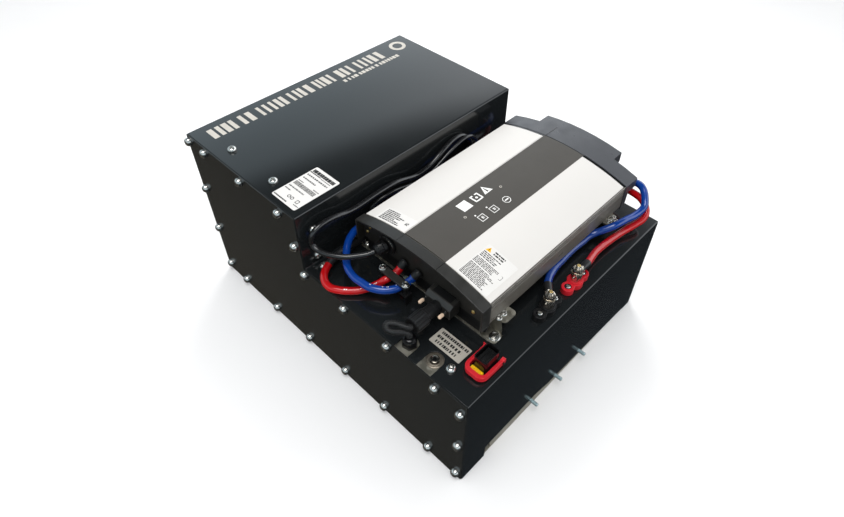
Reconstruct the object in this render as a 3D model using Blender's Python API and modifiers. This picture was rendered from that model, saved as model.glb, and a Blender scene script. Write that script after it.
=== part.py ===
"""Battery pack for an industrial vehicle: a stepped sheet-metal box with cells and power parts inside,
and a battery charger, terminals and connectors mounted on its low front step.

Run it with: blender --background --python part.py
The origin is the middle of the box's underside. +Z is up, +X runs along the charger, -Y is the front.
Numbers below are millimetres. A mesh is scaled to metres once, when it is made.
"""

import math

import bmesh
import bpy
from mathutils import Matrix, Vector

MM = 0.001
GAP = 0.3
WELD = 1e-6
Z_AXIS = Vector((0, 0, 1))

# Box
LENGTH = 560.0
DEPTH = 725.0
HEIGHT = 375.0
STEP_Z = 250.0
RISER_Y = 27.0
SHEET = 2.5
PANEL = 2.0
PANEL_INSET = 1.5
FOLD_RADIUS = 4.0
FRONT_Y = -DEPTH / 2
BACK_Y = DEPTH / 2
END_X = LENGTH / 2
COVER_END_X = END_X - PANEL - GAP
TRAY_T = 3.0
TRAY_FLANGE_Z = 42.0
FLANGE_X = (-198.0, 262.0)
FRONT_OPENING = [(-217, -5), (250, -5), (250, 4), (-25, 23.5), (-70, 34), (-217, 34)]
ROOF_SCREWS = {
    "top_screw_1": (-247, 256, HEIGHT),
    "top_screw_2": (-247, 128, HEIGHT),
    "step_screw": (-247, -298.5, STEP_Z),
}

# Screws that hold the end panels
SCREW_SHANK_R = 3.7
SCREW_HOLE_R = 4.3
SCREW_HEAD_R = 8.5
END_HEAD = 8.5
SCREW_SIDES = 6
END_SCREWS = (
    [(356, 359.5), (303.5, 359.5), (187.5, 359), (73.5, 357.5)]
    + [(349, 246.5), (350, 134.5), (347, 23.5)]
    + [(y, 15.5) for y in (286.5, 172.5, 59.5, -54.5, -166.5, -282)]
    + [(-349.5, 15.5), (-349.5, 115), (-349.5, 217)]
    + [(28, 235.5), (-80, 234.5), (-187, 232.5), (-295, 229.5)]
    + [(42.5, 299)]
)
STRIP_WIDTH = 26.0
STRIP_T = 4.0
STRIP_INSET = 2.2
STUD_Z = 29.0
STUD_X = (-84.0, -7.0, 73.0)
STUD_R = 3.9
STUD_OUT = 16.0
STUD_HEAD = (8.0, 4.0)

# Inside the box
MODULES = {
    "battery_module_1": ((-264, 45, 3.3), (-4, 345, 318)),
    "battery_module_2": ((4, 45, 3.3), (264, 345, 318)),
    "battery_module_3": ((-262, -190, 3.3), (262, 8, 205)),
}
MODULE_POST_R = 9.0
MODULE_POST_INSET = 40.0
MODULE_POST_Y = -60.0
BMS_BOX = ((-180, -340, 20), (-20, -215, 60))
CONTACTOR_BOX = ((20, -320, 10), (90, -230, 80))
FUSE_STRAP = ((120, -285, 40), (230, -260, 44))
BOARD_BOX = ((-150, -290, 291), (210, -22, 293))
BOARD_BLOCKS = (
    ((-120, -260, 292), (-60, -200, 322)), ((-30, -250, 292), (60, -170, 330)),
    ((90, -270, 292), (190, -240, 325)), ((90, -120, 292), (190, -60, 328)),
)
BOARD_CANS = ((-100, -90), (-60, -90))

# Charger
CHARGER_Y = -156.0
CHARGER_HALF = 144.0
CHARGER_X = (-162.5, 222.7)
CHARGER_Z = 285.0
CROWN_R = 477.8
CROWN_CENTRE_Z = 355.5 - CROWN_R
WALL = 2.5
OVERLAY_T = 1.6
STRIP_Y = (-203.0, -111.0)
CAP_EXTRA = 2.0
NEAR_CAP_X = -184.0
NEAR_FACE_X = -168.0
COLLAR = 14.0
HOOD_X = 262.0
HOOD_Z = 314.0
VISOR_X = 290.0
VISOR_Y = (-247.0, -70.0)
VISOR_Z = 326.0
VISOR_ROOF_Z = 345.0
GROOVE_Z = (319.0, 320.6)
BRACKET_FRONT_Y = {"near": -318.0, "far": -312.0}
BRACKET_REAR_Y = 6.0
BRACKET_X = {"near": (-143.5, -168.0, -112.0), "far": (197.0, 222.0, 164.0)}
BRACKET_BOLTS = ((-155, -309), (-155, -3), (210, -304), (210, -3))
KEY_SIZE = 17.0
KEY_T = 1.1
KEYS = {"key_f1": -44.0, "key_f2": -14.0, "key_stop": 20.0}
KEY_Y = -179.0

# Power terminals
POST_Y = -336.0
POSTS = {"neg": -50.0, "pos": 30.0}
POST_TOP = 265.0
LUG_Z = 279.0
STUD_TOP = 299.0
POST_HALF = 33.5
POST_R = 14.5
EAR_R = 11.5
LUG_T = 2.8
LUG_HOLE_R = 5.2
NUT_R = 9.8
POST_WASHER_R = 10.4

# Signal connector with its lever
HEADER_X = (-222.0, -185.0)
HEADER_Y = -332.2
HEADER_HALF = 12.5
HEADER_TOP = 283.0
PIVOT = (-188.0, 260.0)
LEVER_Z = (255.0, 265.0)
LEVER_HALF = 21.0
LEVER_THICK = 6.0
LEVER_BRIDGE_X = -238.0
LEVER_BRIDGE = 8.0
LEVER_CORNER = 14.0
LEVER_END_X = -180.5
LOCK_X = -228.6
LOCK_HALF = 11.5
LOCK_Z = (255.0, 262.0)

# Wake-up button and cable gland, side by side in the two notches of the step
BUTTON = (-252.0, -268.7)
GLAND = (-258.0, -218.5)
GLAND_PLATE_TOP = STEP_Z - SHEET - GAP
GLAND_PLATE_T = 1.8
GLAND_PLATE_X = -212.0
GLAND_PLATE_Y = (-304.0, -184.0)
NOTCH_R = 15.5
PLATE_X = (-232.0, -199.0)
PLATE_Y = (-300.5, -235.5)

# Cables and what holds them
CHARGE_CABLE_R = 6.85
MAINS_CABLE_R = 5.2
AUX_CABLE_R = 3.8
COMM_CABLE_R = 5.3
MAINS_GLAND = (-77.0, 311.0)
DSUB_Y = -216.0
DSUB_Z = 286.0
CLAMP_X = -202.0
CLAMP_SCREW_Y = (-97.4, -152.8)
SHELF_Z = 271.5
CLAMP_Z = 287.0
CLAMP_HALF = 8.0

RED_PATH = [
    (-170.5, -118, 297), (-174.5, -118, 296), (-184, -115.5, 284), (-194, -114, 279.4),
    (-203, -113.2, 279.2), (-211, -111.5, 279.1), (-221, -104, 270.5), (-234, -94, 263),
    (-250, -82, 259.5), (-266, -65, 259), (-276, -48, 259), (-277, -33, 259.5), (-271, -20, 261),
    (-260, -10, 262.5), (-244, -3, 264), (-220, 0.5, 266), (-180, 1, 267.5), (-60, 1, 267.5),
    (120, 1, 267.5), (220, 1, 270), (250, -5, 276), (266, -24, 282), (272, -60, 285),
    (272, -240, 287), (270, -285, 291), (264, -312, 294.5), (259, -328, 291.5), (251, -341, 283),
    (236, -346, 276), (215, -341, 271), (186, -333, 266.5), (139, -329, 270), (103, -329, 274),
    (79, -333, 278), (64, -336, 280.4), (55.6, -336, 280.4),
]
BLUE_PATH = [
    (-170.5, -152, 297), (-174.5, -151.6, 296), (-184, -146.5, 284.5), (-194, -142.5, 279.4),
    (-203, -140.5, 279.2), (-213, -138, 279.2), (-225, -130, 279.5), (-234, -119, 280),
    (-241, -104, 280), (-243, -88, 280), (-244, -71, 280), (-240, -52, 281), (-233, -38, 283),
    (-220, -23, 287), (-207, -12, 292), (-190, -3, 295), (-165, 1, 297), (-60, 1, 297),
    (120, 1, 297), (230, 1.5, 299), (256, -4, 301), (271, -20, 302), (276, -50, 303),
    (276, -250, 304), (276, -282, 308), (275, -301, 312), (270, -313.7, 312), (262, -324.2, 307.6),
    (250, -333.8, 301.8), (242, -338, 296.6), (230, -338, 293), (212, -335.9, 292),
    (195.4, -332, 293), (178.5, -328.6, 294), (161, -323.5, 292.5), (147.3, -313.4, 285.5),
    (136.5, -303.7, 278.5), (122.8, -297.9, 275), (105, -297, 273.5), (80, -296, 274.5),
    (55, -297, 275.5), (36.4, -298.7, 276), (22.9, -299.5, 276.5), (10.2, -301.5, 277.3),
    (-1.8, -304.7, 278.7), (-12.2, -308.2, 279.8), (-24.4, -314.3, 280.4), (-30.5, -319.5, 280.4),
]
MAINS_PATH = [
    (-197, -71, 308), (-206, -67.5, 306.8), (-214, -62.5, 306), (-226, -54.2, 306),
    (-237, -45.3, 306), (-248, -31, 306), (-257, -14.4, 306), (-261.6, 3.2, 308),
    (-262.1, 12.5, 314.5), (-261.5, 13.3, 326), (-256, 13.3, 335.5), (-244.6, 13.3, 341.3),
    (-225.6, 13.3, 342.8), (-203.2, 13.3, 339), (-184.2, 13.3, 334), (-164.3, 13.3, 331.5),
    (-143.6, 13.3, 332), (-122.6, 13.3, 333.3), (-97, 13.3, 333.6), (-74, 13.3, 332.6),
    (-56, 13.3, 329.5), (-37.5, 13.3, 323.5), (-19, 13.3, 317.7), (-2.7, 13.3, 316),
    (20, 13.3, 318.5), (37, 13.6, 323.5), (54, 14.6, 330.5), (78, 17.5, 337), (100, 20, 340),
    (122, 20.5, 337.5), (138, 20.5, 328), (148.5, 20.5, 314), (154, 20.5, 299), (158, 19, 283),
    (160.5, 15, 266), (161, 13.3, 252),
]
AUX_PATH = [
    (-128, 20, 252), (-127, 20, 285), (-124, 18, 303), (-113, 13, 315), (-97, 9.5, 320.5),
    (-80, 8, 321), (-60, 8, 317), (-40, 8, 311.5), (-19, 8, 307.5), (0, 8, 306), (20, 8, 307.5),
    (38, 8, 312.5), (55, 8, 319.5), (69, 8, 326), (90, 8, 333.5), (110, 8, 338.5), (128, 8, 338.5),
    (141, 8, 333.5), (152, 8, 323), (158.5, 9, 311), (165, 12.5, 297), (171, 16, 285),
    (177, 20, 270), (182, 22.6, 252),
]
COMM_PATH = [
    (-251, -216, 286), (-253.8, -216, 286.2), (-257.8, -212.5, 287.5), (-262.5, -203.5, 289.5),
    (-268, -194, 290.5), (-275, -187.8, 290.5), (-280, -188.5, 289), (-281.5, -194, 286.5), (-278, -201, 284),
    (-271, -206, 281.5), (-264, -210.8, 279), (-259, -215, 275.6), (-258, -218, 272),
    (-258, -218.5, 268.6),
]

COLOURS = {
    "enclosure_paint": ((0.045, 0.058, 0.066), 0.35, 0.3),
    "galvanised": ((0.45, 0.43, 0.38), 0.45, 0.9),
    "zinc_bright": ((0.75, 0.76, 0.78), 0.25, 1.0),
    "stainless": ((0.6, 0.58, 0.54), 0.3, 1.0),
    "black_plastic": ((0.02, 0.02, 0.021), 0.5, 0.0),
    "charger_shell": ((0.2, 0.19, 0.18), 0.4, 0.7),
    "charger_overlay": ((0.86, 0.85, 0.82), 0.35, 0.0),
    "keypad_film": ((0.09, 0.085, 0.08), 0.45, 0.0),
    "red_plastic": ((0.62, 0.03, 0.04), 0.35, 0.0),
    "yellow_plastic": ((0.85, 0.55, 0.02), 0.4, 0.0),
    "cable_red": ((0.5, 0.012, 0.015), 0.3, 0.0),
    "cable_blue": ((0.006, 0.045, 0.4), 0.3, 0.0),
    "cable_black": ((0.015, 0.015, 0.016), 0.45, 0.0),
    "nameplate": ((0.5, 0.47, 0.42), 0.4, 0.8),
    "cell_case": ((0.08, 0.2, 0.4), 0.5, 0.0),
    "copper": ((0.75, 0.35, 0.2), 0.3, 1.0),
    "circuit_board": ((0.02, 0.2, 0.08), 0.5, 0.0),
}


def clear_scene():
    for obj in list(bpy.data.objects):
        bpy.data.objects.remove(obj, do_unlink=True)


def new_collection(name):
    collection = bpy.data.collections.new(name)
    bpy.context.scene.collection.children.link(collection)
    return collection


def make_material(name, colour, roughness, metallic):
    material = bpy.data.materials.new(name)
    material.use_nodes = True
    shader = material.node_tree.nodes["Principled BSDF"]
    shader.inputs["Base Color"].default_value = (*colour, 1)
    shader.inputs["Roughness"].default_value = roughness
    shader.inputs["Metallic"].default_value = metallic
    return material


clear_scene()
PARTS = new_collection("battery_pack")
HELPERS = new_collection("cutters")


# Meshes


def tidy_mesh(mesh):
    """Welds a mesh's loose caps and turns its faces outwards."""
    work = bmesh.new()
    work.from_mesh(mesh)
    bmesh.ops.remove_doubles(work, verts=work.verts, dist=WELD)
    bmesh.ops.recalc_face_normals(work, faces=work.faces)
    work.to_mesh(mesh)
    work.free()
    return mesh


def evaluated_mesh(obj):
    """The mesh that a curve or an object with modifiers makes. The object itself is removed."""
    HELPERS.objects.link(obj)
    graph = bpy.context.evaluated_depsgraph_get()
    mesh = bpy.data.meshes.new_from_object(obj.evaluated_get(graph))
    bpy.data.objects.remove(obj, do_unlink=True)
    return tidy_mesh(mesh)


def facing(axis):
    """The rotation that turns +Z to an axis."""
    return Z_AXIS.rotation_difference(Vector(axis)).to_matrix().to_4x4()


def place(mesh, at=(0, 0, 0), axis=(0, 0, 1)):
    """Moves a mesh that was made around the origin with its axis along +Z."""
    mesh.transform(Matrix.Translation(Vector(at) * MM) @ facing(axis))
    return mesh


def box(low, high):
    low, high = Vector(low), Vector(high)
    work = bmesh.new()
    size = Matrix.Diagonal((*((high - low) * MM), 1))
    bmesh.ops.create_cube(work, size=1, matrix=Matrix.Translation((low + high) / 2 * MM) @ size)
    mesh = bpy.data.meshes.new("box")
    work.to_mesh(mesh)
    work.free()
    return mesh


def rod(radius, start, end, sides=16, end_radius=None):
    """A cylinder or a cone between two points."""
    start, end = Vector(start), Vector(end)
    work = bmesh.new()
    bmesh.ops.create_cone(
        work, cap_ends=True, segments=sides, depth=(end - start).length * MM,
        radius1=radius * MM, radius2=(radius if end_radius is None else end_radius) * MM,
        matrix=Matrix.Translation((start + end) / 2 * MM) @ facing(end - start),
    )
    mesh = bpy.data.meshes.new("rod")
    work.to_mesh(mesh)
    work.free()
    return mesh


def turned(profile, sides=24):
    """A solid turned around +Z from (radius, height) points that run down its outer side, top to bottom."""
    mesh = bpy.data.meshes.new("profile")
    points = [(r * MM, 0, z * MM) for r, z in profile]
    mesh.from_pydata(points, [(i, i + 1) for i in range(len(profile) - 1)], [])
    obj = bpy.data.objects.new("profile", mesh)
    screw = obj.modifiers.new("turn", "SCREW")
    screw.steps = screw.render_steps = sides
    screw.use_merge_vertices = True
    screw.merge_threshold = WELD
    return evaluated_mesh(obj)


PLANES = {
    "XY": Matrix.Identity(4),
    "YZ": Matrix(((0, 0, 1, 0), (1, 0, 0, 0), (0, 1, 0, 0), (0, 0, 0, 1))),
    "XZ": Matrix(((1, 0, 0, 0), (0, 0, -1, 0), (0, 1, 0, 0), (0, 0, 0, 1))),
}


def plate(plane, loops, low, high):
    """A flat outline, with any further loops as holes, extruded from low to high across its plane."""
    curve = bpy.data.curves.new("outline", "CURVE")
    curve.dimensions = "2D"
    curve.fill_mode = "BOTH"
    curve.extrude = (high - low) / 2 * MM
    for loop in loops:
        spline = curve.splines.new("POLY")
        spline.points.add(len(loop) - 1)
        spline.use_cyclic_u = True
        for point, (u, v) in zip(spline.points, loop):
            point.co = (u * MM, v * MM, 0, 1)
    mesh = evaluated_mesh(bpy.data.objects.new("outline", curve))
    across = -1 if plane == "XZ" else 1
    middle = Matrix.Translation((0, 0, across * (low + high) / 2 * MM))
    mesh.transform(PLANES[plane] @ middle)
    return tidy_mesh(mesh)


def ring(centre, radius, sides=12, turn=0.0):
    """A round loop of points."""
    angles = [turn + 2 * math.pi * i / sides for i in range(sides)]
    return [(centre[0] + radius * math.cos(a), centre[1] + radius * math.sin(a)) for a in angles]


def rounded(low, high, radius, steps=3):
    """A rectangle with round corners."""
    corners = (
        (high[0], high[1], 0), (low[0], high[1], 90), (low[0], low[1], 180), (high[0], low[1], 270),
    )
    loop = []
    for x, y, start in corners:
        cx = x - math.copysign(radius, x - low[0] - 1e-9)
        cy = y - math.copysign(radius, y - low[1] - 1e-9)
        for i in range(steps + 1):
            a = math.radians(start + 90 * i / steps)
            loop.append((cx + radius * math.cos(a), cy + radius * math.sin(a)))
    return loop


def smooth_path(points, steps=2):
    """A Catmull-Rom curve through the points."""
    points = [Vector(p) for p in points]
    ends = [2 * points[0] - points[1], *points, 2 * points[-1] - points[-2]]
    path = []
    for a, b, c, d in zip(ends, ends[1:], ends[2:], ends[3:]):
        for i in range(steps):
            t = i / steps
            square = 2 * a - 5 * b + 4 * c - d
            cube = 3 * b - a - 3 * c + d
            path.append((2 * b + (c - a) * t + square * t**2 + cube * t**3) / 2)
    return [*path, points[-1]]


# Nodes


def helper(mesh, collection):
    obj = bpy.data.objects.new("helper", mesh)
    obj.hide_render = True
    obj.display_type = "WIRE"
    collection.objects.link(obj)


def boolean(obj, meshes, operation):
    """Joins or cuts with a whole group of meshes at once."""
    group = bpy.data.collections.new(f"{obj.name}_{operation.lower()}")
    HELPERS.children.link(group)
    for mesh in meshes:
        helper(mesh, group)
    modifier = obj.modifiers.new(operation.lower(), "BOOLEAN")
    modifier.operation = operation
    modifier.operand_type = "COLLECTION"
    modifier.collection = group
    modifier.solver = "EXACT"


def part(name, material, mesh, add=(), cut=(), origin=(0, 0, 0)):
    """One named piece. Its origin is where it sits or turns."""
    mesh.name = name
    mesh.transform(Matrix.Translation(Vector(origin) * -MM))
    mesh.materials.append(MATERIALS[material].copy())
    mesh.shade_smooth()
    mesh.set_sharp_from_angle(angle=math.radians(35))
    obj = bpy.data.objects.new(name, mesh)
    obj.location = Vector(origin) * MM
    PARTS.objects.link(obj)
    if add:
        boolean(obj, add, "UNION")
    if cut:
        boolean(obj, cut, "DIFFERENCE")
    return obj


def cable(name, material, points, radius):
    """A round cable along a smooth path, as a curve with filled ends."""
    curve = bpy.data.curves.new(name, "CURVE")
    curve.dimensions = "3D"
    curve.bevel_depth = radius * MM
    curve.bevel_resolution = 1
    curve.use_fill_caps = True
    path = smooth_path(points)
    spline = curve.splines.new("POLY")
    spline.points.add(len(path) - 1)
    for point, place_at in zip(spline.points, path):
        point.co = (*(place_at * MM), 1)
    curve.materials.append(MATERIALS[material].copy())
    PARTS.objects.link(bpy.data.objects.new(name, curve))


# Box


def fold_line(points, radius, steps=3):
    """The points of a folded sheet seen from its end, with each inner corner rounded."""
    points = [Vector(p) for p in points]
    line = [points[0]]
    for before, corner, after in zip(points, points[1:], points[2:]):
        back = (before - corner).normalized()
        ahead = (after - corner).normalized()
        middle = corner + (back + ahead) * radius
        for i in range(steps + 1):
            a = math.pi / 2 * i / steps
            line.append(middle - ahead * radius * math.cos(a) - back * radius * math.sin(a))
    return [*line, points[-1]]


def make_cover():
    """Back, roof, riser, step and front, folded from one sheet."""
    bends = [
        (BACK_Y, 1), (BACK_Y, HEIGHT), (RISER_Y, HEIGHT), (RISER_Y, STEP_Z), (FRONT_Y, STEP_Z), (FRONT_Y, 1),
    ]
    outside = fold_line(bends, FOLD_RADIUS)
    inside = [
        (BACK_Y - SHEET, 1), (BACK_Y - SHEET, HEIGHT - SHEET), (RISER_Y + SHEET, HEIGHT - SHEET),
        (RISER_Y + SHEET, STEP_Z - SHEET), (FRONT_Y + SHEET, STEP_Z - SHEET), (FRONT_Y + SHEET, 1),
    ]
    section = [tuple(p) for p in outside] + inside[::-1]
    sheet = plate("YZ", [section], -COVER_END_X, COVER_END_X)
    notches = []
    for x, y in (GLAND, BUTTON):
        notches.append(box((-END_X, y - NOTCH_R, STEP_Z - 4), (x, y + NOTCH_R, STEP_Z + 2)))
        notches.append(rod(NOTCH_R, (x, y, STEP_Z - 4), (x, y, STEP_Z + 2), 24))
    front = plate("XZ", [FRONT_OPENING], FRONT_Y - 3, FRONT_Y + 5)
    holes = [rod(STUD_R + 0.4, (x, FRONT_Y - 5, STUD_Z), (x, FRONT_Y + 7, STUD_Z), 12) for x in STUD_X]
    part("main_cover", "enclosure_paint", sheet, cut=[*notches, front, *holes])


def l_outline(inset):
    """The box seen from its end, drawn in by an inset."""
    return [
        (FRONT_Y + inset, inset), (BACK_Y - inset, inset),
        (BACK_Y - inset, HEIGHT - inset), (RISER_Y + inset, HEIGHT - inset),
        (RISER_Y + inset, STEP_Z - inset), (FRONT_Y + inset, STEP_Z - inset),
    ]


def make_end(side, name):
    """One end panel with the screws that hold it to a threaded strip behind it."""
    holes = [ring(at, SCREW_HOLE_R, SCREW_SIDES) for at in END_SCREWS]
    low, high = sorted((side * (END_X - PANEL), side * END_X))
    part(f"end_panel_{name}", "enclosure_paint", plate("YZ", [l_outline(PANEL_INSET), *holes], low, high))
    strip_out = side * (END_X - PANEL - GAP - SHEET)
    strip_in = strip_out - side * STRIP_T
    inset = SHEET + GAP + STRIP_INSET
    loops = [l_outline(inset), l_outline(inset + STRIP_WIDTH)]
    strip = plate("YZ", loops, *sorted((strip_in, strip_out)))
    face = side * (END_X + GAP)
    screws = []
    for y, z in END_SCREWS:
        top = (face + side * END_HEAD, y, z)
        screws.append(rod(SCREW_SHANK_R, (strip_in + side, y, z), (face + side, y, z), SCREW_SIDES))
        screws.append(rod(SCREW_HEAD_R, (face, y, z), top, SCREW_SIDES, SCREW_HEAD_R * 0.6))
    part(f"end_screws_{name}", "zinc_bright", strip, add=screws)


def make_tray():
    """The floor plate with upturned flanges. Its bare front flange shows in the front wall's opening."""
    front = FRONT_Y + SHEET + GAP
    back = BACK_Y - SHEET - GAP
    side_x = END_X - PANEL - GAP - SHEET - STRIP_T - 1
    floor = box((-side_x, front, 0), (side_x, back, TRAY_T))
    flanges = [
        box((FLANGE_X[0], front, 0), (FLANGE_X[1], front + TRAY_T, TRAY_FLANGE_Z)),
        box((-side_x, back - TRAY_T, 0), (side_x, back, TRAY_FLANGE_Z)),
        box((-side_x, front, 0), (-side_x + TRAY_T, back, TRAY_FLANGE_Z)),
        box((side_x - TRAY_T, front, 0), (side_x, back, TRAY_FLANGE_Z)),
    ]
    holes = [rod(STUD_R + 0.4, (x, front - 3, STUD_Z), (x, front + 6, STUD_Z), 12) for x in STUD_X]
    part("base_tray", "galvanised", floor, add=flanges, cut=holes)


def make_box_fasteners():
    inner = FRONT_Y + SHEET + GAP + TRAY_T + GAP
    head_r, head_h = STUD_HEAD
    for i, x in enumerate(STUD_X, 1):
        stud = rod(STUD_R, (x, inner, STUD_Z), (x, FRONT_Y - STUD_OUT, STUD_Z), 12)
        head = rod(head_r, (x, inner, STUD_Z), (x, inner + head_h, STUD_Z), 6)
        part(f"front_stud_{i}", "zinc_bright", stud, add=[head])
    for name, (x, y, z) in ROOF_SCREWS.items():
        head = turned([(0, 5), (4.5, 4.8), (7, 3.2), (8.5, 1.2), (8.5, 0), (0, 0)], 16)
        part(name, "zinc_bright", place(head, (x, y, z + GAP)), origin=(x, y, z))


def make_gland_plate():
    """The bare plate behind the two notches that carries the gland and the push button."""
    edge = -COVER_END_X + GAP
    front, rear = GLAND_PLATE_Y
    holes = [ring(GLAND, 8.3, 16), ring(BUTTON, 9.3, 16)]
    outline = [(edge, front), (GLAND_PLATE_X, front), (GLAND_PLATE_X, rear), (edge, rear)]
    sheet = plate("XY", [outline, *holes], GLAND_PLATE_TOP - GLAND_PLATE_T, GLAND_PLATE_TOP)
    part("gland_plate", "galvanised", sheet)


# Cells and power parts


def make_battery():
    """Three cell modules, the bar that holds the rear pair down, and the links that join them."""
    for name, (low, high) in MODULES.items():
        y = (low[1] + high[1]) / 2 + MODULE_POST_Y
        tops = [
            rod(MODULE_POST_R, (x, y, high[2] - 1), (x, y, high[2] + 8), 12)
            for x in (low[0] + MODULE_POST_INSET, high[0] - MODULE_POST_INSET)
        ]
        part(name, "cell_case", box(low, high), add=tops)
    bar = box((-266, 225, 318.3), (266, 250, 324))
    ribs = [box((x - 12, 223, 320), (x + 12, 252, 328)) for x in (-134, 134)]
    part("hold_down_bar", "galvanised", bar, add=ribs)
    part("busbar_link_1", "copper", box((-55, 124, 326.3), (55, 146, 330)))
    upright = box((212, 33, 213.3), (236, 36, 330))
    part("busbar_link_2", "copper", upright, add=[
        box((212, 33, 326.3), (236, 150, 330)), box((212, -165, 213.3), (236, 36, 216.3)),
    ])


def make_power_parts():
    """Battery management unit, contactor and fuse in the low front compartment."""
    part("bms_unit", "black_plastic", box(*BMS_BOX), add=[
        box((-175 + 30 * i, -345, 30), (-155 + 30 * i, -339, 45)) for i in range(5)
    ])
    part("main_contactor", "black_plastic", box(*CONTACTOR_BOX), add=[
        rod(7, (x, -275, 79), (x, -275, 96), 12) for x in (38, 72)
    ])
    part("main_fuse", "copper", box(*FUSE_STRAP), add=[
        rod(15, (150, -272.5, 42), (200, -272.5, 42), 16),
    ])


# Charger


def crown_points(radius, half, steps=10):
    """Points over the crowned roof, front to rear."""
    reach = math.asin(half / radius)
    angles = [-reach + 2 * reach * i / steps for i in range(steps + 1)]
    return [(CHARGER_Y + radius * math.sin(a), CROWN_CENTRE_Z + radius * math.cos(a)) for a in angles]


def crowned_section(extra, bottom, steps=10):
    """The charger's section seen from its end, grown outwards by extra."""
    half = CHARGER_HALF + extra
    feet = [(CHARGER_Y + half, bottom), (CHARGER_Y - half, bottom)]
    return [*feet, *crown_points(CROWN_R + extra, half, steps)]


def overlay(y_from, y_to, steps=6):
    """A thin sheet laid on the roof between two Y positions, as a closed section."""
    loop = []
    for radius, order in ((CROWN_R + GAP, 1), (CROWN_R + GAP + OVERLAY_T, -1)):
        ends = [math.asin((y - CHARGER_Y) / radius) for y in (y_from, y_to)][::order]
        for i in range(steps + 1):
            a = ends[0] + (ends[1] - ends[0]) * i / steps
            loop.append((CHARGER_Y + radius * math.sin(a), CROWN_CENTRE_Z + radius * math.cos(a)))
    return loop


def roof_at(y, lift=0.0):
    """A point over the roof at x = 0 and the outward direction there."""
    a = math.asin((y - CHARGER_Y) / CROWN_R)
    normal = Vector((0, math.sin(a), math.cos(a)))
    return Vector((0, CHARGER_Y, CROWN_CENTRE_Z)) + normal * (CROWN_R + lift), normal


def make_charger_shell():
    tube = plate("YZ", [crowned_section(0, CHARGER_Z), crowned_section(-WALL, CHARGER_Z + WALL)], *CHARGER_X)
    grooves = [
        box((CHARGER_X[0] - 2, y - 0.8, GROOVE_Z[0]), (CHARGER_X[1] + 2, y + 0.8, GROOVE_Z[1]))
        for y in (CHARGER_Y - CHARGER_HALF, CHARGER_Y + CHARGER_HALF)
    ]
    part("charger_body", "charger_shell", tube, cut=grooves)
    x_range = (CHARGER_X[0] + 1, CHARGER_X[1] - 1)
    side = CHARGER_HALF - 2
    panels = {
        "charger_panel_front": (CHARGER_Y - side, STRIP_Y[0] - GAP),
        "charger_panel_rear": (STRIP_Y[1] + GAP, CHARGER_Y + side),
    }
    for name, (y_from, y_to) in panels.items():
        part(name, "charger_overlay", plate("YZ", [overlay(y_from, y_to)], *x_range))
    pockets = []
    for x in KEYS.values():
        at, normal = roof_at(KEY_Y)
        size = KEY_SIZE / 2 + GAP
        pocket = box((x - size, -size, -3), (x + size, size, 4))
        pockets.append(place(pocket, at, normal))
    part("charger_keypad", "keypad_film", plate("YZ", [overlay(*STRIP_Y, 8)], *x_range), cut=pockets)
    for name, x in KEYS.items():
        at, normal = roof_at(KEY_Y, GAP + OVERLAY_T - KEY_T)
        size = KEY_SIZE / 2
        cap = box((x - size, -size, 0), (x + size, size, KEY_T))
        part(name, "keypad_film", place(cap, at, normal), origin=(x, at.y, at.z))


def make_charger_inside():
    """The board with its transformers and coolers."""
    blocks = [box(*corners) for corners in BOARD_BLOCKS]
    cans = [rod(14, (x, y, 292), (x, y, 325), 12) for x, y in BOARD_CANS]
    part("charger_pcb", "circuit_board", box(*BOARD_BOX), add=[*blocks, *cans])


def make_near_cap():
    """The plastic cap on the connector end, a shallow tray that opens outwards."""
    outline = crowned_section(CAP_EXTRA, CHARGER_Z - 1)
    shell = plate("YZ", [outline], NEAR_CAP_X, CHARGER_X[0] - GAP)
    pocket = plate("YZ", [crowned_section(-1.5, CHARGER_Z - 5)], NEAR_CAP_X - 1, NEAR_FACE_X)
    gland_hole = rod(9.3, (NEAR_FACE_X - 3, *MAINS_GLAND), (CHARGER_X[0] + 3, *MAINS_GLAND), 16)
    part("charger_cap_near", "black_plastic", shell, cut=[pocket, gland_hole])


def make_far_cap():
    """The plastic hood on the fan end, open underneath so that air and the cables pass."""
    start = CHARGER_X[1] + GAP
    outline = crowned_section(CAP_EXTRA, CHARGER_Z - 7)
    shell = plate("YZ", [outline], start, VISOR_X)
    past = VISOR_X + 5
    cutters = [
        box((start + COLLAR, -400, 200), (past, 100, HOOD_Z)),
        box((HOOD_X, -400, 200), (past, VISOR_Y[0], 400)),
        box((HOOD_X, VISOR_Y[1], 200), (past, 100, 400)),
        box((HOOD_X, VISOR_Y[0] - 5, 200), (past, VISOR_Y[1] + 5, VISOR_Z)),
        plate("YZ", [crowned_section(-1.5, 200)], start + 5, HOOD_X - 3),
        box((HOOD_X - 4, VISOR_Y[0] + 3, 200), (VISOR_X - 3, VISOR_Y[1] - 3, VISOR_ROOF_Z)),
    ]
    part("charger_cap_far", "black_plastic", shell, cut=cutters)


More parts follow.
